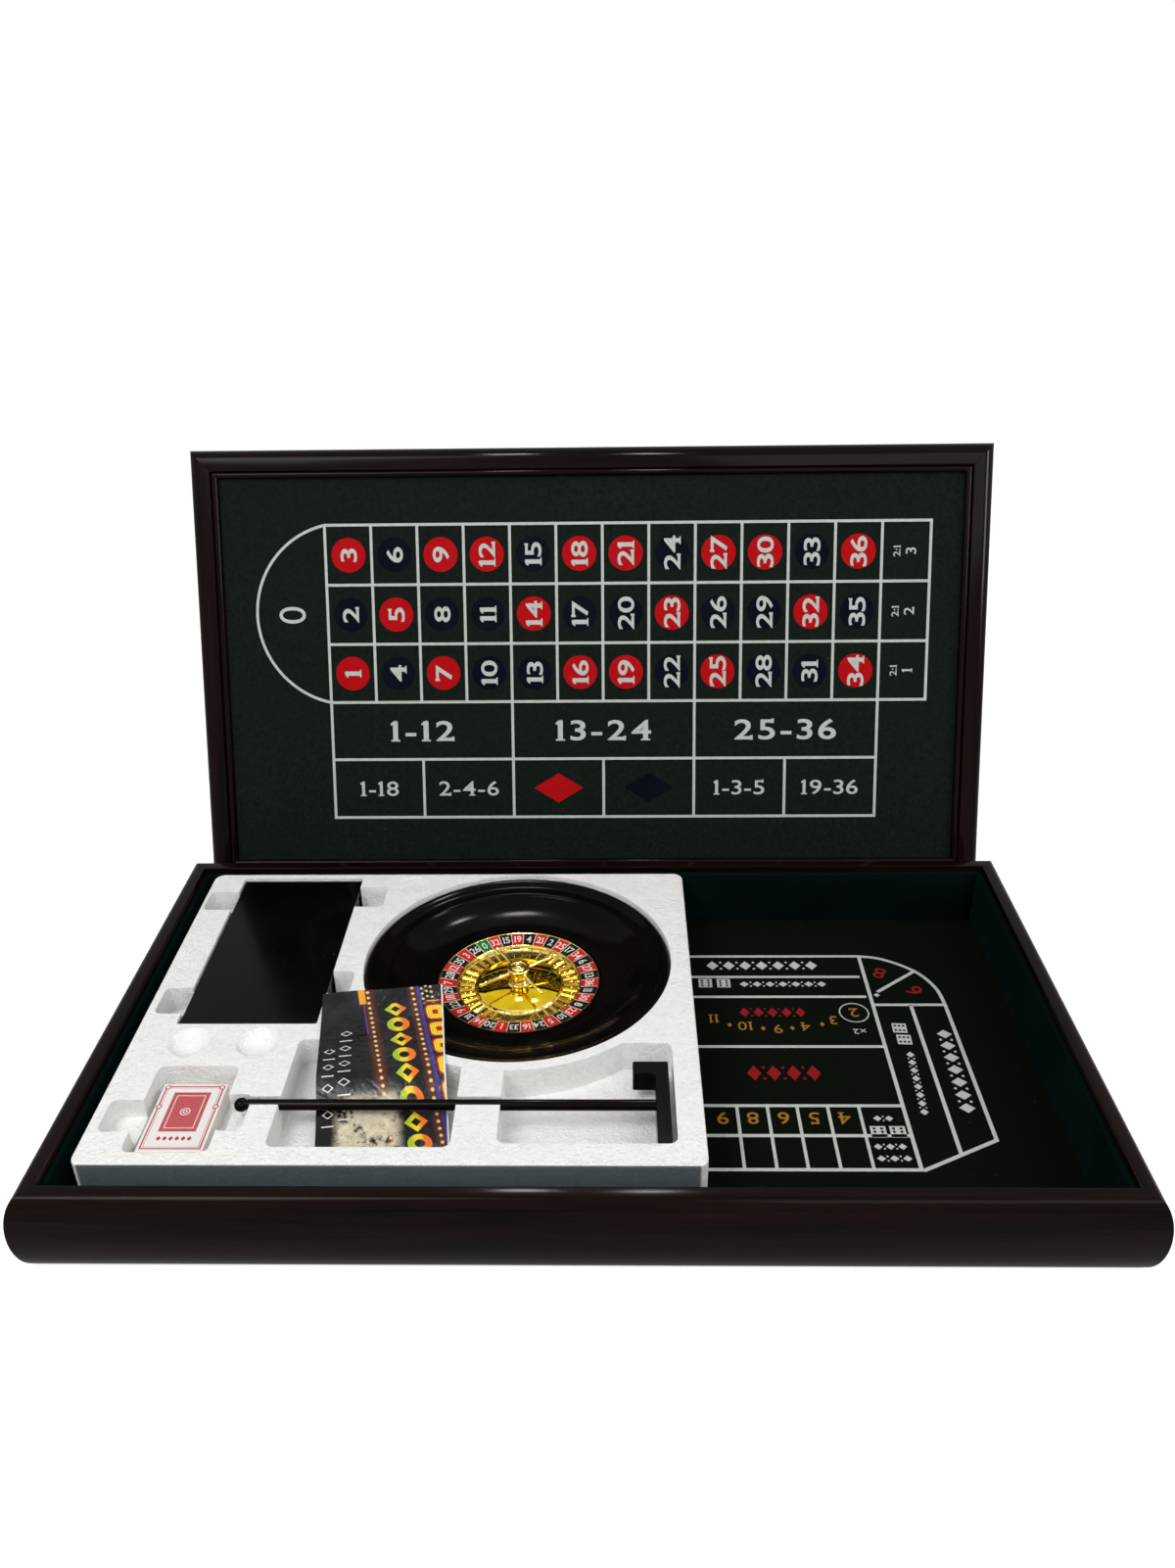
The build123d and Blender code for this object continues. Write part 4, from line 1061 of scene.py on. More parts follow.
# ---------------------------------------------------------------- lid
class ROULETTE_OT_lid(bpy.types.Operator):
    """Lid rails, beads, panel and cloth"""
    bl_idname = "roulette.lid"
    bl_label = "Lid"

    def execute(self, context):
        edge = sizes().edge
        low = LID_BASE
        lip = arc((-LID_LIP + LIP_ROUND, low + LID_THICKNESS - LIP_ROUND), LIP_ROUND, 90, 180, 8)
        foot = arc((-LID_FLAT + CORNER_ROUND, low + CORNER_ROUND), CORNER_ROUND, 180, 270, 3)
        cloth_top = low + LID_CLOTH_T + CLOTH
        step = [(-LID_LIP, low + PANEL_TOP_T), (-PANEL_GROOVE, low + PANEL_TOP_T), (-PANEL_GROOVE, cloth_top),
                (-LID_FLAT, cloth_top)]
        outline = half_ellipse(low + LID_THICKNESS / 2, BULGE, LID_THICKNESS / 2, 32) + lip + step + foot
        along_x = lacquered_wood("lid_lacquer", LID_TURN)
        finishes = along_sides(along_x, lacquered_wood("lid_lacquer_side", LID_TURN, (70, 2.5, 70)))
        rails("lid_rail_", outline, finishes, "lid", PLAIN_SIDES, 30.0, OPENED, edge / 2)
        dressed("lid_rail_back", along_x, "lid", edge / 2, 1, 30.0)
        radius = BEAD_WIDTH / 2
        middle = -LID_FLAT - radius
        seat = low + LID_CLOTH_T - 0.05
        bead = arc((middle, low + BEAD_TOP + radius), radius, 180, 360, 16)
        bead += [(middle + radius, seat), (middle - radius, seat)]
        rails("lid_bead_", bead, finishes, "lid", SIDES, 40.0, OPENED)
        board = lacquered_wood("lid_panel_wood", LID_TURN, (3.5, 60, 60), (0.004, 0.002, 0.002, 1),
                               (0.012, 0.005, 0.005, 1))
        dressed("lid_panel", board, "lid", edge)
        made = baize("lid_baize", colours().lid_baize, LID_TURN, 0.04)
        laid_cloth("lid_cloth_baize", made, "lid", "lid_cloth", LID_FLAT, LID_FRONT,
                   LID_FACE)
        return {"FINISHED"}


# The lid's layout in its printed face: x from the middle, heights of the rows up from the lid's lower edge,
# and the circle of the zero field as its centre and radius
LID_X = -347.5
LID_PITCH = 60.6
LID_COLUMNS = 12
LID_END = 442.5
LID_ROWS = (482.6, 405.1, 327.4, 250.2, 173.0, 93.8)
LID_ZERO = (-322.2, 366.4, 118.9)


class ROULETTE_OT_lid_print(bpy.types.Operator):
    """White lines, discs and numbers printed on the lid's cloth"""
    bl_idname = "roulette.lid_print"
    bl_label = "Lid print"

    def execute(self, context):
        line = sizes().lid_line * 1000
        high = sizes().print_height * 1000
        disc = sizes().disc * 1000
        tall = sizes().numeral * 1000
        half = line / 2
        right = LID_X + LID_PITCH * LID_COLUMNS
        columns = [LID_X + LID_PITCH * i for i in range(LID_COLUMNS + 1)]
        white, red, navy = bmesh.new(), bmesh.new(), bmesh.new()

        def level(s, x0, x1):
            ribbon(white, [(x0, s), (x1, s)], line, 0, high)

        def upright(x, s0, s1):
            ribbon(white, [(x, s0 + half), (x, s1 - half)], line, 0, high)

        for s in LID_ROWS[:4]:
            level(s, LID_X - half, LID_END + half)
        for s in LID_ROWS[4:]:
            level(s, LID_X - half, right + half)
        for upper, lower in zip(LID_ROWS[:3], LID_ROWS[1:4]):
            for x in columns + [LID_END]:
                upright(x, lower, upper)
        for x in columns[::4]:
            upright(x, LID_ROWS[4], LID_ROWS[3])
        for x in columns[::2]:
            upright(x, LID_ROWS[5], LID_ROWS[4])
        # The zero field's arc meets the lines at a corner
        middle, radius = LID_ZERO[1], LID_ZERO[2]
        reach = math.degrees(math.acos((LID_ZERO[0] - LID_X) / radius))
        bow = arc(LID_ZERO, radius, 180 - reach, 180 + reach, 44)
        ribbon(white, bow, line, 0, high)
        numeral(white, 0, (LID_X - 47.5, middle), 36.8, 0, high, 90, -0.004, 1.0)

        for row in range(3):
            s = (LID_ROWS[row] + LID_ROWS[row + 1]) / 2
            for i in range(LID_COLUMNS):
                value = 3 * i + 3 - row
                x = LID_X + LID_PITCH * (i + 0.5)
                stamp(red if value in RED_NUMBERS else navy, "disc", (x, s), (disc, disc), 0, high)
                numeral(white, value, (x, s), tall, high, 2 * high, 90, 0.014, 1.5, 0.04)
            end = (right + LID_END) / 2
            numeral(white, "2:1", (end - 12, s), 9.5, 0, high, 90, 0.004, 1.2)
            numeral(white, 3 - row, (end + 6, s), 14, 0, high, 90, 0.004, 1.2)
        s = (LID_ROWS[3] + LID_ROWS[4]) / 2
        for i, words in enumerate(("1-12", "13-24", "25-36")):
            numeral(white, words, (columns[4 * i + 2], s), 28.5, 0, high, 0, 0.014, 1.42, 0.18)
        s = (LID_ROWS[4] + LID_ROWS[5]) / 2
        for i, words in ((0, "1-18"), (1, "2-4-6"), (4, "1-3-5"), (5, "19-36")):
            numeral(white, words, (columns[2 * i + 1], s), 20.5, 0, high, 0, 0.006, 1.3, 0.13)
        for i, sheet in ((2, red), (3, navy)):
            stamp(sheet, "lozenge", (columns[2 * i + 1], s), (66, 40), 0, high)

        chosen = colours()
        for name, bm, colour, worn in (("white", white, chosen.print_white, 0.16),
                                       ("red", red, chosen.print_red, 0.06),
                                       ("navy", navy, chosen.print_navy, 0.03)):
            made = ink("lid_ink_" + name, colour, LID_TURN, worn)
            printed("lid_print_" + name, bm, made, "lid", LID_FACE)
        return {"FINISHED"}


# ---------------------------------------------------------------- floor print, in the part's own x and y
# Long lines as (y, right end), the left line, and the upright lines of the boxes
FLOOR_LEVELS = ((180, 329), (139, 325), (101, 326), (13, 331), (-80, 329), (-123, 330), (-169, 333))
FLOOR_LEFT = -329.0
FLOOR_BOXES = (157, 189, 220, 252, 284.5)
FLOOR_BEND = ((329, 180), (358, 174), (393, 150), (411, 118), (415, 86))
# Straight lines at the right end, each a step higher than the lines it crosses
FLOOR_LINES = (((331, 86), (415, 86)), ((341, 110), (393, 150)), ((375, 86), (375, -147)))
# Numbers with their places, and what stands between those of the arc
BOX_NUMBERS = ((141.1, 9), (172.4, 8), (204.2, 6), (236.1, 5), (267.2, 4))
ARC_NUMBERS = ((280.7, 58.2, 3), (247.2, 46.9, 4), (215.7, 43.0, 9), (178.7, 48.1, 10), (143.4, 61.1, 11))
ARC_LOZENGES = ((266.9, 51.4), (232.0, 44.7), (198.7, 44.1), (161.0, 50.3))
CIRCLED_TWO = (306.6, 71.9)
# Ornament rows: ink, start, direction in degrees, count, pitch, height
FLOOR_ROWS = (
    ("white", (280, 161.5), 180, 7, 20.1, 17.0), ("white", (285, 125.0), 180, 7, 15.4, 10.0),
    ("red", (253, 72.5), 180, 5, 16.2, 17.0), ("red", (256, -30.0), 180, 4, 21.5, 24.0),
    ("white", (402, 44), -92, 7, 19.6, 17.0), ("white", (356.5, 6), -93, 8, 12.7, 9.0),
    ("white", (344, 104), 180, 1, 10.0, 7.0), ("white", (319, -98.5), 180, 2, 12.0, 8.0),
    ("white", (325, -138), 180, 3, 12.3, 8.0), ("white", (327, -154), 180, 3, 13.0, 8.0))
DICE = ((138.4, 127.1, 180), (160.3, 127.0, 180), (298.6, -117.6, 180), (318.5, -117.5, 180),
        (353.4, 44.6, -93), (354.7, 24.8, -93))
DIE = 16.0


class ROULETTE_OT_floor_print(bpy.types.Operator):
    """Dice layout printed on the floor's cloth"""
    bl_idname = "roulette.floor_print"
    bl_label = "Floor print"

    def execute(self, context):
        high = sizes().print_height * 1000
        inks = {name: bmesh.new() for name in ("white", "dark", "red", "gold")}
        self.lines(inks["white"], sizes().floor_line * 1000, high)
        self.numbers(inks, high)
        # Ornament rows where a printed table has its names
        for name, *row in FLOOR_ROWS:
            self.row(inks[name], *row, high)
        for x, y, turn in DICE:
            self.die(inks["white"], inks["dark"], (x, y), DIE, turn, high)
        tones = {"white": colours().print_white, "dark": (0.006, 0.006, 0.005, 1),
                 "red": (0.27, 0.008, 0.012, 1), "gold": colours().print_gold}
        for name, bm in inks.items():
            made = ink("floor_ink_" + name, tones[name])
            printed("floor_print_" + name, bm, made, "case", FLOOR_FACE)
        return {"FINISHED"}

    def lines(self, bm, line, high):
        for y, x in FLOOR_LEVELS:
            ribbon(bm, [(FLOOR_LEFT, y), (x, y)], line, 0, high)
        ribbon(bm, [(331, 178), (331, -168)], line, 0, high * 1.02)
        ribbon(bm, fair(FLOOR_BEND, 5) + [(415.5, -129), (333, -170)], line, 0, high * 1.04)
        for ends in FLOOR_LINES:
            ribbon(bm, ends, line, 0, high * 1.06)
        for x in FLOOR_BOXES:
            for mirrored in (x, -x):
                ribbon(bm, [(mirrored, -81), (mirrored, -168)], line * 0.8, 0, high * 1.06)
        ribbon(bm, [(FLOOR_LEFT, 178), (FLOOR_LEFT, -168)], line, 0, high * 1.02)

    def numbers(self, inks, high):
        """Box numbers, two red numbers at the bend and an arc of gilt numbers, read from the far side."""
        for x, value in BOX_NUMBERS:
            for mirrored in (x, -x):
                numeral(inks["gold"], value, (mirrored, -98.5), 17.5, 0, high, 180, 0.004, 1.15)
        numeral(inks["red"], 8, (350.1, 146.0), 21, 0, high, 155, 0.004, 1.1)
        numeral(inks["red"], 6, (384.2, 112.6), 21, 0, high, 115, 0.004, 1.1)
        for x, y, value in ARC_NUMBERS:
            numeral(inks["gold"], value, (x, y), 15, 0, high, 180, 0.0, 1.1)
        for place in ARC_LOZENGES:
            stamp(inks["gold"], "lozenge", place, (5.5, 7.5), 0, high)
        ribbon(inks["white"], arc(CIRCLED_TWO, 16.6, 0, 360, 40)[:-1], 1.4, 0, high, True)
        numeral(inks["gold"], 2, CIRCLED_TWO, 16, 0, high, 180, 0.0, 1.1)
        numeral(inks["white"], "x2", (307.7, 38.5), 9, 0, high, 180, 0.0, 1.2)

    def row(self, bm, start, way, count, pitch, tall, high):
        """Lozenges with a pair of dots between them, from a start point along a direction in degrees."""
        step = Vector((math.cos(math.radians(way)), math.sin(math.radians(way))))
        side = Vector((-step.y, step.x))
        for i in range(count):
            spot = Vector(start) + step * (pitch * (i + 0.5))
            stamp(bm, "lozenge", spot, (pitch * 0.72, tall), 0, high, way)
            if i:
                gap = spot - step * (pitch * 0.5)
                for shift in (-0.36, 0.36):
                    stamp(bm, "pip", gap + side * (tall * shift), (pitch * 0.16, pitch * 0.16), 0, high)

    def die(self, bm, dark, place, size, turn, high):
        """Filled die face with six dark pips."""
        spin = Matrix.Rotation(math.radians(turn), 2)
        stamp(bm, "square", place, (size, size), 0, high, turn)
        for px in (-0.24, 0.24):
            for py in (-0.29, 0.0, 0.29):
                pip = Vector(place) + spin @ Vector((px * size, py * size))
                stamp(dark, "pip", pip, (size * 0.21, size * 0.21), high, high * 2)


# ---------------------------------------------------------------- tray and what lies in it
class ROULETTE_OT_tray(bpy.types.Operator):
    """Beaded foam tray"""
    bl_idname = "roulette.tray"
    bl_label = "Foam tray"

    def execute(self, context):
        dressed("foam_tray", white_foam(), "tray", sizes().foam_edge, 3, 30.0)
        return {"FINISHED"}


class ROULETTE_OT_chip_box(bpy.types.Operator):
    """Black chip box, its lid and the chips in it"""
    bl_idname = "roulette.chip_box"
    bl_label = "Chip box"

    def execute(self, context):
        edge = sizes().edge
        black = plain_gloss("black_lacquer", (0.0012, 0.0010, 0.0010), (0.0026, 0.0020, 0.0019), 0.10, 0.18,
                            7.0, Specular_IOR_Level=0.06)
        dressed("chip_box_base", black, "chip_box", edge)
        dressed("chip_box_dividers", black, "chip_box", edge)
        dressed("chip_box_lid", black, "chip_box_cover", edge, 3)
        tones = {"red": (0.42, 0.014, 0.018), "blue": (0.012, 0.035, 0.24), "white": (0.66, 0.64, 0.58)}
        for name, base in tones.items():
            dressed("chips_" + name, chip_edge("chip_" + name, base), "chip_box", 0.0004)
        return {"FINISHED"}


class ROULETTE_OT_cards(bpy.types.Operator):
    """Card carton with a lattice back"""
    bl_idname = "roulette.cards"
    bl_label = "Cards"

    def execute(self, context):
        dressed("card_carton", card_print(), "card_pack", 0.0006, 3)
        carried(paper("card_stock", (0.72, 0.71, 0.68)), "card_deck")
        return {"FINISHED"}


def bowl_outline():
    """Section of the bowl as (radius, height)."""
    inside = fair([(95.0, 50.2), (112.0, 52.6), (130.0, 58.2), (147.0, 67.8)], 8)
    ridge = fair([(147.0, 67.8), (147.9, 69.6), (149.6, 70.5), (153.0, 70.6)], 3)
    lip = fair([(153.0, 70.6), (160.0, 72.0), (165.0, 75.2), (169.2, 76.8), (172.4, 75.4), (173.5, 71.6)], 6)
    under = fair([(171.0, 69.0), (162.0, 68.2), (148.0, 62.8), (130.0, 53.4), (112.0, 47.6), (99.0, 45.4)], 4)
    foot = [(99.0, 14.2), (95.0, 14.2), (95.0, 30.0), (13.0, 30.0), (11.0, 20.0), (0.0, 20.0), (0.0, 24.0),
            (3.0, 24.0), (3.0, 35.6), (9.0, 35.6), (10.6, 34.0), (94.4, 34.0), (95.0, 34.6), (95.0, 49.6)]
    return inside[:-1] + ridge[:-1] + lip + [(173.5, 69.0)] + under + foot


class ROULETTE_OT_wheel(bpy.types.Operator):
    """Turned bowl with its lip and ridge"""
    bl_idname = "roulette.wheel"
    bl_label = "Wheel bowl"

    def execute(self, context):
        piece("wheel_bowl_turned", spun(bowl_outline(), 160), [black_plastic()], "wheel",
              ["wheel_bowl"], 40.0, WHEEL_PLACE)
        steel = plain_metal("spindle_steel", (0.45, 0.45, 0.46), (0.6, 0.6, 0.61), 0.18, 0.3, 60.0)
        carried(steel, "wheel_spindle")
        return {"FINISHED"}


RING_IN, RING_OUT, RING_Z = 71.2, 92.4, (46.9, 49.9)
RING_SLOPE = (RING_Z[1] - RING_Z[0]) / (RING_OUT - RING_IN)
LABEL = 0.5


def ring_height(radius):
    return RING_Z[0] + LABEL + (radius - RING_IN) * RING_SLOPE


def around(angle, radius, height, tilt=0.0):
    """A place on the rotor with x along the ring and y outward, tilted up outward."""
    turn = Matrix.Rotation(math.radians(angle - 90), 4, "Z")
    return turn @ Matrix.Translation((0, radius, height)) @ Matrix.Rotation(tilt, 4, "X")


def turned(name, bm, made, sharp=34.0):
    """A finished piece of the rotor that stands for the CAD piece of its name."""
    piece(name + "_turned", bm, [made], "rotor", [name], sharp, WHEEL_PLACE)


# Outlines of the turned pieces as (radius, height)
ROTOR_BODY = [(6.0, 35.9), (12.0, 35.9), (14.0, 38.0), (90.0, 38.0), (93.2, 40.6), (93.5, 41.6), (93.5, 50.0),
              (93.2, 50.7), (92.6, 50.9), (RING_OUT, 49.9), (RING_IN, 46.9), (RING_IN, 40.8), (48.0, 40.8),
              (48.0, 42.8), (6.0, 42.8)]
CENTRE_DISC = [(9.0, 43.0), (48.0, 43.0), (48.3, 43.3), (48.3, 43.7), (47.9, 44.0), (14.2, 48.4), (9.0, 48.4)]
POCKET_TROUGH = [(48.6, 41.0), (70.9, 41.0), (70.9, 46.7), (69.9, 46.6), (69.2, 45.4), (68.2, 43.5),
                 (66.6, 43.0), (53.4, 42.4), (51.6, 42.7), (50.4, 44.0), (49.9, 44.9), (48.6, 45.1)]
HUB_WAIST = [(12.4, 48.9), (11.4, 49.6), (11.0, 51.0), (9.9, 52.8), (9.2, 55.4), (9.3, 57.6), (9.8, 60.0),
             (10.4, 61.4)]
ARM_BLOCK = [(0, 62.0), (11.0, 62.0), (11.8, 62.5), (12.0, 63.4), (12.0, 65.2), (11.7, 66.0), (11.0, 66.4),
             (0, 66.4)]
TURRET_CAP = [(0, 66.4), (11.6, 66.4), (12.6, 66.6), (13.2, 67.2), (13.2, 68.2), (12.7, 68.8), (12.0, 69.0),
              (9.8, 69.0), (9.2, 68.5), (8.2, 68.3), (7.4, 68.6), (7.0, 69.2), (6.2, 69.8), (5.2, 70.0),
              (4.4, 69.7), (3.8, 70.1), (2.6, 70.8), (0, 71.0)]
# An arm's outline as (distance from the axis, radius), up to its ball end
ARM = [(10.5, 0.0), (10.5, 2.2), (12.6, 2.6), (14.0, 2.6), (14.8, 2.3), (30.0, 2.05), (41.4, 1.85),
       (42.0, 2.4), (43.4, 2.45), (44.2, 1.9), (45.8, 1.8)]
ARM_HEIGHT = 64.2
BALL_RADIUS = 2.7
BALL_END = 51.7
LABEL_MIDDLE = 81.8
FRET_PLACE = (60.0, 44.2)


class ROULETTE_OT_rotor(bpy.types.Operator):
    """Number ring, pockets, centre disc and turret"""
    bl_idname = "roulette.rotor"
    bl_label = "Rotor"

    def execute(self, context):
        bright = gold("wheel_gold", 0.05, 0.14, 0.35)
        self.number_ring(bright)
        self.pockets(bright)
        turned("rotor_body", spun(ROTOR_BODY, 148), black_plastic(), 30.0)
        mirror = gold("mirror_gold", 0.02, 0.06, 0.0, 0.000008)
        turned("centre_disc", spun(CENTRE_DISC, 148), mirror, 30.0)
        carried(bright, "rotor_bush")
        self.turret(bright)
        return {"FINISHED"}

    def number_ring(self, bright):
        outline = [(RING_IN + 0.05, RING_Z[0] + 0.05), (RING_OUT, RING_Z[1]), (RING_OUT, RING_Z[1] + LABEL),
                   (RING_IN + 0.05, RING_Z[0] + LABEL)]
        bm = spun(outline, POCKETS * 4)
        start = math.radians(ZERO_ANGLE - SECTOR / 2)
        bmesh.ops.rotate(bm, cent=(0, 0, 0), matrix=Matrix.Rotation(start, 3, "Z"), verts=bm.verts)
        for face in bm.faces:
            middle = face.calc_center_median()
            turn = math.degrees(math.atan2(middle.y, middle.x))
            sector = int(((ZERO_ANGLE + SECTOR / 2 - turn) % 360.0) // SECTOR) % POCKETS
            value = WHEEL_ORDER[sector]
            face.material_index = 2 if value == 0 else 0 if value in RED_NUMBERS else 1
        tones = (("label_red", (0.52, 0.010, 0.010), (0.58, 0.014, 0.012)),
                 ("label_black", (0.003, 0.003, 0.003), (0.006, 0.006, 0.006)),
                 ("label_green", (0.006, 0.15, 0.025), (0.010, 0.19, 0.032)))
        finishes = [plain_gloss(*tone, 0.22, 0.34, 30.0, Specular_IOR_Level=0.12) for tone in tones]
        piece("number_ring_printed", bm, finishes, "rotor", ["number_ring"], 30.0,
              WHEEL_PLACE)
        tall = sizes().wheel_numeral * 1000
        tilt = math.atan(RING_SLOPE)
        marks = bmesh.new()
        for i, value in enumerate(WHEEL_ORDER):
            angle = ZERO_ANGLE - SECTOR * i
            place = around(angle, LABEL_MIDDLE, ring_height(LABEL_MIDDLE), tilt)
            spelled(marks, value, place @ Matrix.Diagonal((tall * 0.84, tall, 0.12, 1)), 0.006, 0.08)
            edge = around(angle + SECTOR / 2, LABEL_MIDDLE, ring_height(LABEL_MIDDLE), tilt)
            joined(marks, stencil("square"), edge @ Matrix.Diagonal((0.7, 20.4, 0.14, 1)))
        bmesh.ops.recalc_face_normals(marks, faces=marks.faces)
        pale = plain_gloss("label_white", (0.72, 0.70, 0.62), (0.78, 0.76, 0.69), 0.3, 0.4, 30.0,
                           Specular_IOR_Level=0.4, Coat_Weight=0.1, Coat_Roughness=0.04)
        piece("wheel_numbers", marks, [pale], "rotor", matrix=WHEEL_PLACE)
        trims = bmesh.new()
        for low, high in ((RING_IN - 0.9, RING_IN + 0.9), (RING_OUT - 1.0, RING_OUT + 0.9)):
            z0, z1 = ring_height(low), ring_height(high)
            crown = ((low + high) / 2, (z0 + z1) / 2 + 0.35)
            trim = spun([(low, z0 - 0.6), (high, z1 - 0.6), (high, z1 + 0.1), crown, (low, z0 + 0.1)], 148)
            mesh = kept(trim, "trim")
            joined(trims, mesh)
            bpy.data.meshes.remove(mesh)
        piece("ring_trims", trims, [bright], "rotor", matrix=WHEEL_PLACE)

    def pockets(self, bright):
        bm = spun(POCKET_TROUGH, 148)
        fret = bmesh.new()
        bmesh.ops.create_cube(fret, size=1.0)
        bmesh.ops.scale(fret, vec=(1.2, 20.0, 4.4), verts=fret.verts)
        upper = [v for v in fret.verts if v.co.z > 0]
        bmesh.ops.scale(fret, vec=(0.55, 1, 1), verts=upper)
        for vert in upper:
            if vert.co.y < 0:
                vert.co.z -= 1.5
        bmesh.ops.bevel(fret, geom=fret.edges[:], offset=0.22, affect="EDGES", segments=2, profile=0.5,
                        material=-1)
        mesh = kept(fret, "fret")
        for i in range(POCKETS):
            joined(bm, mesh, around(ZERO_ANGLE + SECTOR * (i + 0.5), *FRET_PLACE))
        bpy.data.meshes.remove(mesh)
        bmesh.ops.recalc_face_normals(bm, faces=bm.faces)
        turned("pocket_ring", bm, bright)

    def turret(self, bright):
        hub = [(6.1, 46.9), (13.4, 46.9), (13.8, 47.6), (13.4, 48.6)] + fair(HUB_WAIST, 4)
        hub += [(10.4, 62.0), (0.0, 62.0), (0.0, 57.6), (3.6, 57.6), (3.6, 52.4), (6.1, 52.4)]
        turned("turret_hub", spun(hub, 64), bright)
        bm = spun(ARM_BLOCK, 64)
        ball = arc((BALL_END - BALL_RADIUS, 0.0), BALL_RADIUS, 150, 0, 10)
        arm = spun([(radius, along) for along, radius in ARM + ball], 20)
        bmesh.ops.rotate(arm, cent=(0, 0, 0), matrix=Matrix.Rotation(math.pi / 2, 3, "Y"), verts=arm.verts)
        mesh = kept(arm, "arm")
        for i in range(4):
            turn = Matrix.Rotation(math.radians(ZERO_ANGLE + 90 * i), 4, "Z")
            joined(bm, mesh, turn @ Matrix.Translation((0, 0, ARM_HEIGHT)))
        bpy.data.meshes.remove(mesh)
        bmesh.ops.recalc_face_normals(bm, faces=bm.faces)
        turned("turret_arms", bm, bright)
        turned("turret_cap", spun(TURRET_CAP, 64), bright)


BOOKLET_CORNER = (-287.6, 2.0)
BOOKLET_TURN = 8.1
BOOKLET_THICK = 2.0
# Heights of the cover along its length, from its far edge
BOOKLET_CURL = ((0.0, 88.4), (24.0, 84.4), (52.0, 82.4), (86.0, 82.0), (112.0, 81.8), (121.0, 81.2),
                (134.0, 75.6), (148.0, 67.0), (164.0, 60.0), (183.0, 54.4), (206.0, 50.4))


def curl_height(down):
    """Height of the booklet's underside at a distance from its far edge."""
    line = fair(BOOKLET_CURL, 6)
    for (l0, z0), (l1, z1) in zip(line, line[1:]):
        if down <= l1:
            return z0 + (z1 - z0) * (down - l0) / (l1 - l0)
    return line[-1][1]


class ROULETTE_OT_booklet(bpy.types.Operator):
    """Curled glossy booklet, its leaves under the cover"""
    bl_idname = "roulette.booklet"
    bl_label = "Booklet"

    def execute(self, context):
        wide, long = BOOKLET_SIZE
        bm = bmesh.new()
        bmesh.ops.create_grid(bm, x_segments=44, y_segments=72, size=0.5)
        page = bm.loops.layers.uv.new("page")
        for face in bm.faces:
            face.material_index = 0
            for loop in face.loops:
                loop[page].uv = (loop.vert.co.x + 0.5, 0.5 - loop.vert.co.y)
        for vert in bm.verts:
            across, down = (vert.co.x + 0.5) * wide, (0.5 - vert.co.y) * long
            ripple = 0.07 * math.sin(across * 0.11 + 0.6) * math.sin(down * 0.075) * min(1.0, down / 30)
            tip = 1.6 * max(0.0, 1 - down / 40) * math.sin(across * 0.045 + 0.4)
            vert.co = Vector((down, across, curl_height(down) + BOOKLET_THICK + ripple + max(tip, 0.0)))
        upper = bm.faces[:]
        grown = bmesh.ops.extrude_face_region(bm, geom=upper)["geom"]
        for vert in (g for g in grown if isinstance(g, bmesh.types.BMVert)):
            vert.co.z -= BOOKLET_THICK
        for face in bm.faces:
            if face not in upper:
                face.material_index = 1
        bmesh.ops.recalc_face_normals(bm, faces=bm.faces)
        turn = Matrix.Rotation(math.radians(BOOKLET_TURN - 90), 4, "Z")
        place = MM @ Matrix.Translation((*BOOKLET_CORNER, 0)) @ turn
        finishes = [booklet_print(), paper("booklet_paper", (0.70, 0.69, 0.66))]
        piece("booklet_curled", bm, finishes, "booklet", ["booklet_cover", "booklet_pages"],
              40.0, place)
        return {"FINISHED"}


# Stretch of the grain, its dark and its warm colour
RAKE_GRAIN = ((6, 160, 160), (0.0012, 0.0007, 0.0006, 1), (0.0045, 0.0020, 0.0016, 1))
KNOB_X = -338.5
KNOB_RADIUS = 7.0
# The rod from the knob's neck on, as (place along it, radius)
NECK = [(-333.4, 4.9), (-332.2, 5.4), (-331.0, 5.5), (68.9, 5.5), (68.9, 0.0)]


class ROULETTE_OT_rake(bpy.types.Operator):
    """Turned rod and knob, and the rake's head"""
    bl_idname = "roulette.rake"
    bl_label = "Rake"

    def execute(self, context):
        wood = lacquered_wood("rake_wood", (0, 0, 0), *RAKE_GRAIN)
        line = arc((KNOB_X, 0.0), KNOB_RADIUS, 180, 50, 13) + NECK
        bm = spun([(radius, along) for along, radius in line], 40)
        bmesh.ops.rotate(bm, cent=(0, 0, 0), matrix=Matrix.Rotation(math.pi / 2, 3, "Y"), verts=bm.verts)
        place = MM @ Matrix.Translation((0, ROD_Y, ROD_Z))
        piece("rake_rod_turned", bm, [wood], "rake", ["rake_rod", "rake_knob"], 34.0, place)
        side = lacquered_wood("rake_wood_head", GRAIN_ALONG_Y, *RAKE_GRAIN)
        dressed("rake_head", side, "rake", 0.0006, 3)
        return {"FINISHED"}


# ---------------------------------------------------------------- floor, lights and camera
CAMERA_PLACE = (0.027838, -1.047362, 0.922610)
CAMERA_YAW = -0.0232408
CAMERA_PITCH = 0.4997023
CAMERA_ROLL = 0.0155396
FOCAL_PIXELS = 1246.505
IMAGE_WIDTH = 1200.0
SENSOR = 36.0
AMBIENT = 0.42
# Lamps: name, place, what they look at, size and power
BOWL = (-0.07, 0.19, 0.058)
SOFTBOXES = (("key_softbox", (-1.01, -1.0, 1.95), (-0.3, -0.2, 0.1), (1.0, 1.3), 29.0),
             ("side_softbox", (1.7, -0.3, 1.1), (0.2, 0.05, 0.1), (0.5, 1.2), 9.0),
             ("front_softbox", (0.9, -1.4, 1.5), (0.1, 0.2, 0.2), (1.2, 0.8), 10.0))
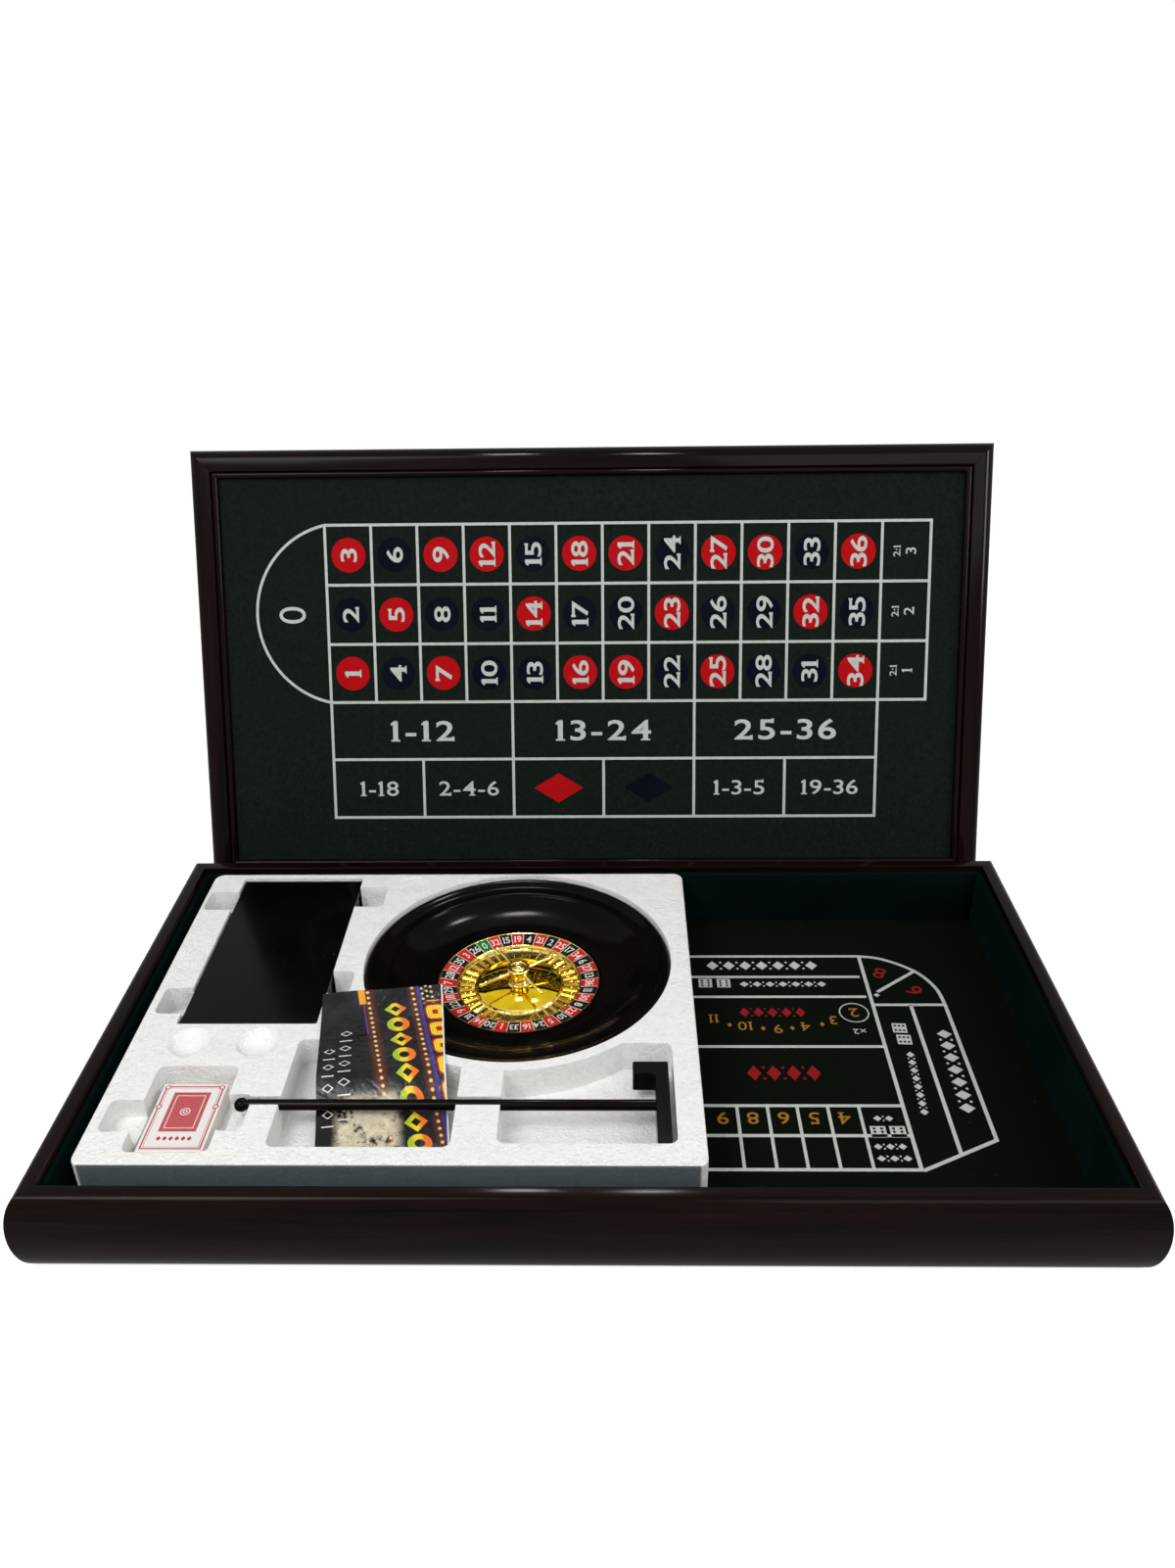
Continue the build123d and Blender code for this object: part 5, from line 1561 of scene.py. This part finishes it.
# Lamps that show only as soft reflections in the lacquer
GLEAMS = (("rail_gleam", (-1.01, -1.0, 1.95), (-0.3, -0.2, 0.1), (1.0, 0.8), 90.0),
          ("lid_gleam", (1.7, -0.3, 1.1), (0.5, 0.35, 0.3), (0.4, 1.0), 30.0),
          ("left_gleam", (-0.126, 0.426, 0.823), BOWL, (0.07, 0.07), 1.4),
          ("right_gleam", (0.086, 0.382, 0.811), BOWL, (0.07, 0.07), 1.4))


def area_lamp(name, place, target, size, power):
    """A rectangular lamp turned to what it looks at, in metres and watts."""
    light = bpy.data.lights.new(name, "AREA")
    light.shape = "RECTANGLE"
    light.size, light.size_y = size
    light.energy = power
    lamp = linked(name, light)
    lamp.location = place
    lamp.rotation_euler = (Vector(target) - Vector(place)).to_track_quat("-Z", "Y").to_euler()
    return lamp


class ROULETTE_OT_stage(bpy.types.Operator):
    """Pale floor, soft lights, white background and the camera"""
    bl_idname = "roulette.stage"
    bl_label = "Stage"

    def execute(self, context):
        bm = bmesh.new()
        bmesh.ops.create_grid(bm, x_segments=1, y_segments=1, size=60.0)
        mesh = kept(bm, "studio_floor")
        floor = linked("studio_floor", mesh)
        pale = bpy.data.materials.new("studio_floor")
        pale.use_nodes = True
        tree = pale.node_tree
        tree.nodes.clear()
        matt = field(tree, "ShaderNodeBsdfDiffuse", 0, {"Color": (0.86, 0.86, 0.86, 1)})
        seen = self.looked_at(tree, 0.66, 0.05)
        glow = field(tree, "ShaderNodeEmission", 0, {"Color": (1, 1, 1, 1), "Strength": seen})
        both = field(tree, "ShaderNodeAddShader", 0, {0: matt, 1: glow})
        node(tree, "ShaderNodeOutputMaterial", {"Surface": both})
        mesh.materials.append(pale)

        world = bpy.data.worlds.new("studio")
        context.scene.world = world
        world.use_nodes = True
        tree = world.node_tree
        tree.nodes.clear()
        strength = larger(self.looked_at(tree, 1.0, 1.0), AMBIENT)
        sky = field(tree, "ShaderNodeBackground", 0, {"Color": (1, 1, 1, 1), "Strength": strength})
        node(tree, "ShaderNodeOutputWorld", {"Surface": sky})

        for lamp in SOFTBOXES:
            area_lamp(*lamp)
        for lamp in GLEAMS:
            gleam = area_lamp(*lamp)
            gleam.visible_diffuse = False
            gleam.visible_camera = False
        self.camera(context)
        context.scene.view_settings.view_transform = "Standard"
        return {"FINISHED"}

    def camera(self, context):
        """The camera of the photograph, solved from the case's edges."""
        data = bpy.data.cameras.new("camera")
        data.sensor_fit = "HORIZONTAL"
        data.sensor_width = SENSOR
        data.lens = FOCAL_PIXELS / IMAGE_WIDTH * SENSOR
        data.clip_start = 0.05
        camera = linked("camera", data)
        flat = math.cos(CAMERA_PITCH)
        ahead = Vector((math.sin(CAMERA_YAW) * flat, math.cos(CAMERA_YAW) * flat, -math.sin(CAMERA_PITCH)))
        level = Vector((math.cos(CAMERA_YAW), -math.sin(CAMERA_YAW), 0))
        down = -level.cross(ahead)
        right = math.cos(CAMERA_ROLL) * level + math.sin(CAMERA_ROLL) * down
        lower = -math.sin(CAMERA_ROLL) * level + math.cos(CAMERA_ROLL) * down
        turn = Matrix((right, -lower, -ahead)).transposed()
        camera.matrix_world = Matrix.Translation(CAMERA_PLACE) @ turn.to_4x4()
        context.scene.camera = camera

    def looked_at(self, tree, straight, in_gloss):
        """Strengths at which the background is seen: straight or through glass, and in gloss."""
        path = outputs(node(tree, "ShaderNodeLightPath"))
        clear = larger(path["Is Camera Ray"], path["Is Transmission Ray"])
        return larger(clear * straight, path["Is Glossy Ray"] * in_gloss)


# ---------------------------------------------------------------- add-on
OPERATORS = (ROULETTE_OT_case, ROULETTE_OT_hinges, ROULETTE_OT_lining, ROULETTE_OT_lid,
             ROULETTE_OT_lid_print, ROULETTE_OT_floor_print, ROULETTE_OT_tray, ROULETTE_OT_chip_box,
             ROULETTE_OT_cards, ROULETTE_OT_wheel, ROULETTE_OT_rotor, ROULETTE_OT_booklet,
             ROULETTE_OT_rake, ROULETTE_OT_stage)


class ROULETTE_PT_panel(bpy.types.Panel):
    """Lists the case's pieces"""
    bl_idname = "ROULETTE_PT_panel"
    bl_label = "Roulette case"
    bl_space_type = "VIEW_3D"
    bl_region_type = "UI"
    bl_category = "Roulette case"

    def draw(self, context):
        for operator in OPERATORS:
            self.layout.operator(operator.bl_idname)


CLASSES = (RouletteCaseSizes, RouletteCaseColours, *OPERATORS, ROULETTE_PT_panel)


def register():
    for entry in CLASSES:
        bpy.utils.register_class(entry)
    bpy.types.Scene.roulette_case_sizes = bpy.props.PointerProperty(type=RouletteCaseSizes)
    bpy.types.Scene.roulette_case_colours = bpy.props.PointerProperty(type=RouletteCaseColours)


def unregister():
    del bpy.types.Scene.roulette_case_colours
    del bpy.types.Scene.roulette_case_sizes
    for entry in reversed(CLASSES):
        bpy.utils.unregister_class(entry)


def main():
    register()
    build_effects()
    for operator in OPERATORS:
        group, name = operator.bl_idname.split(".")
        getattr(getattr(bpy.ops, group), name)()
    for mesh in STENCILS.values():
        bpy.data.meshes.remove(mesh)
    STENCILS.clear()


if __name__ == "__main__":
    main()
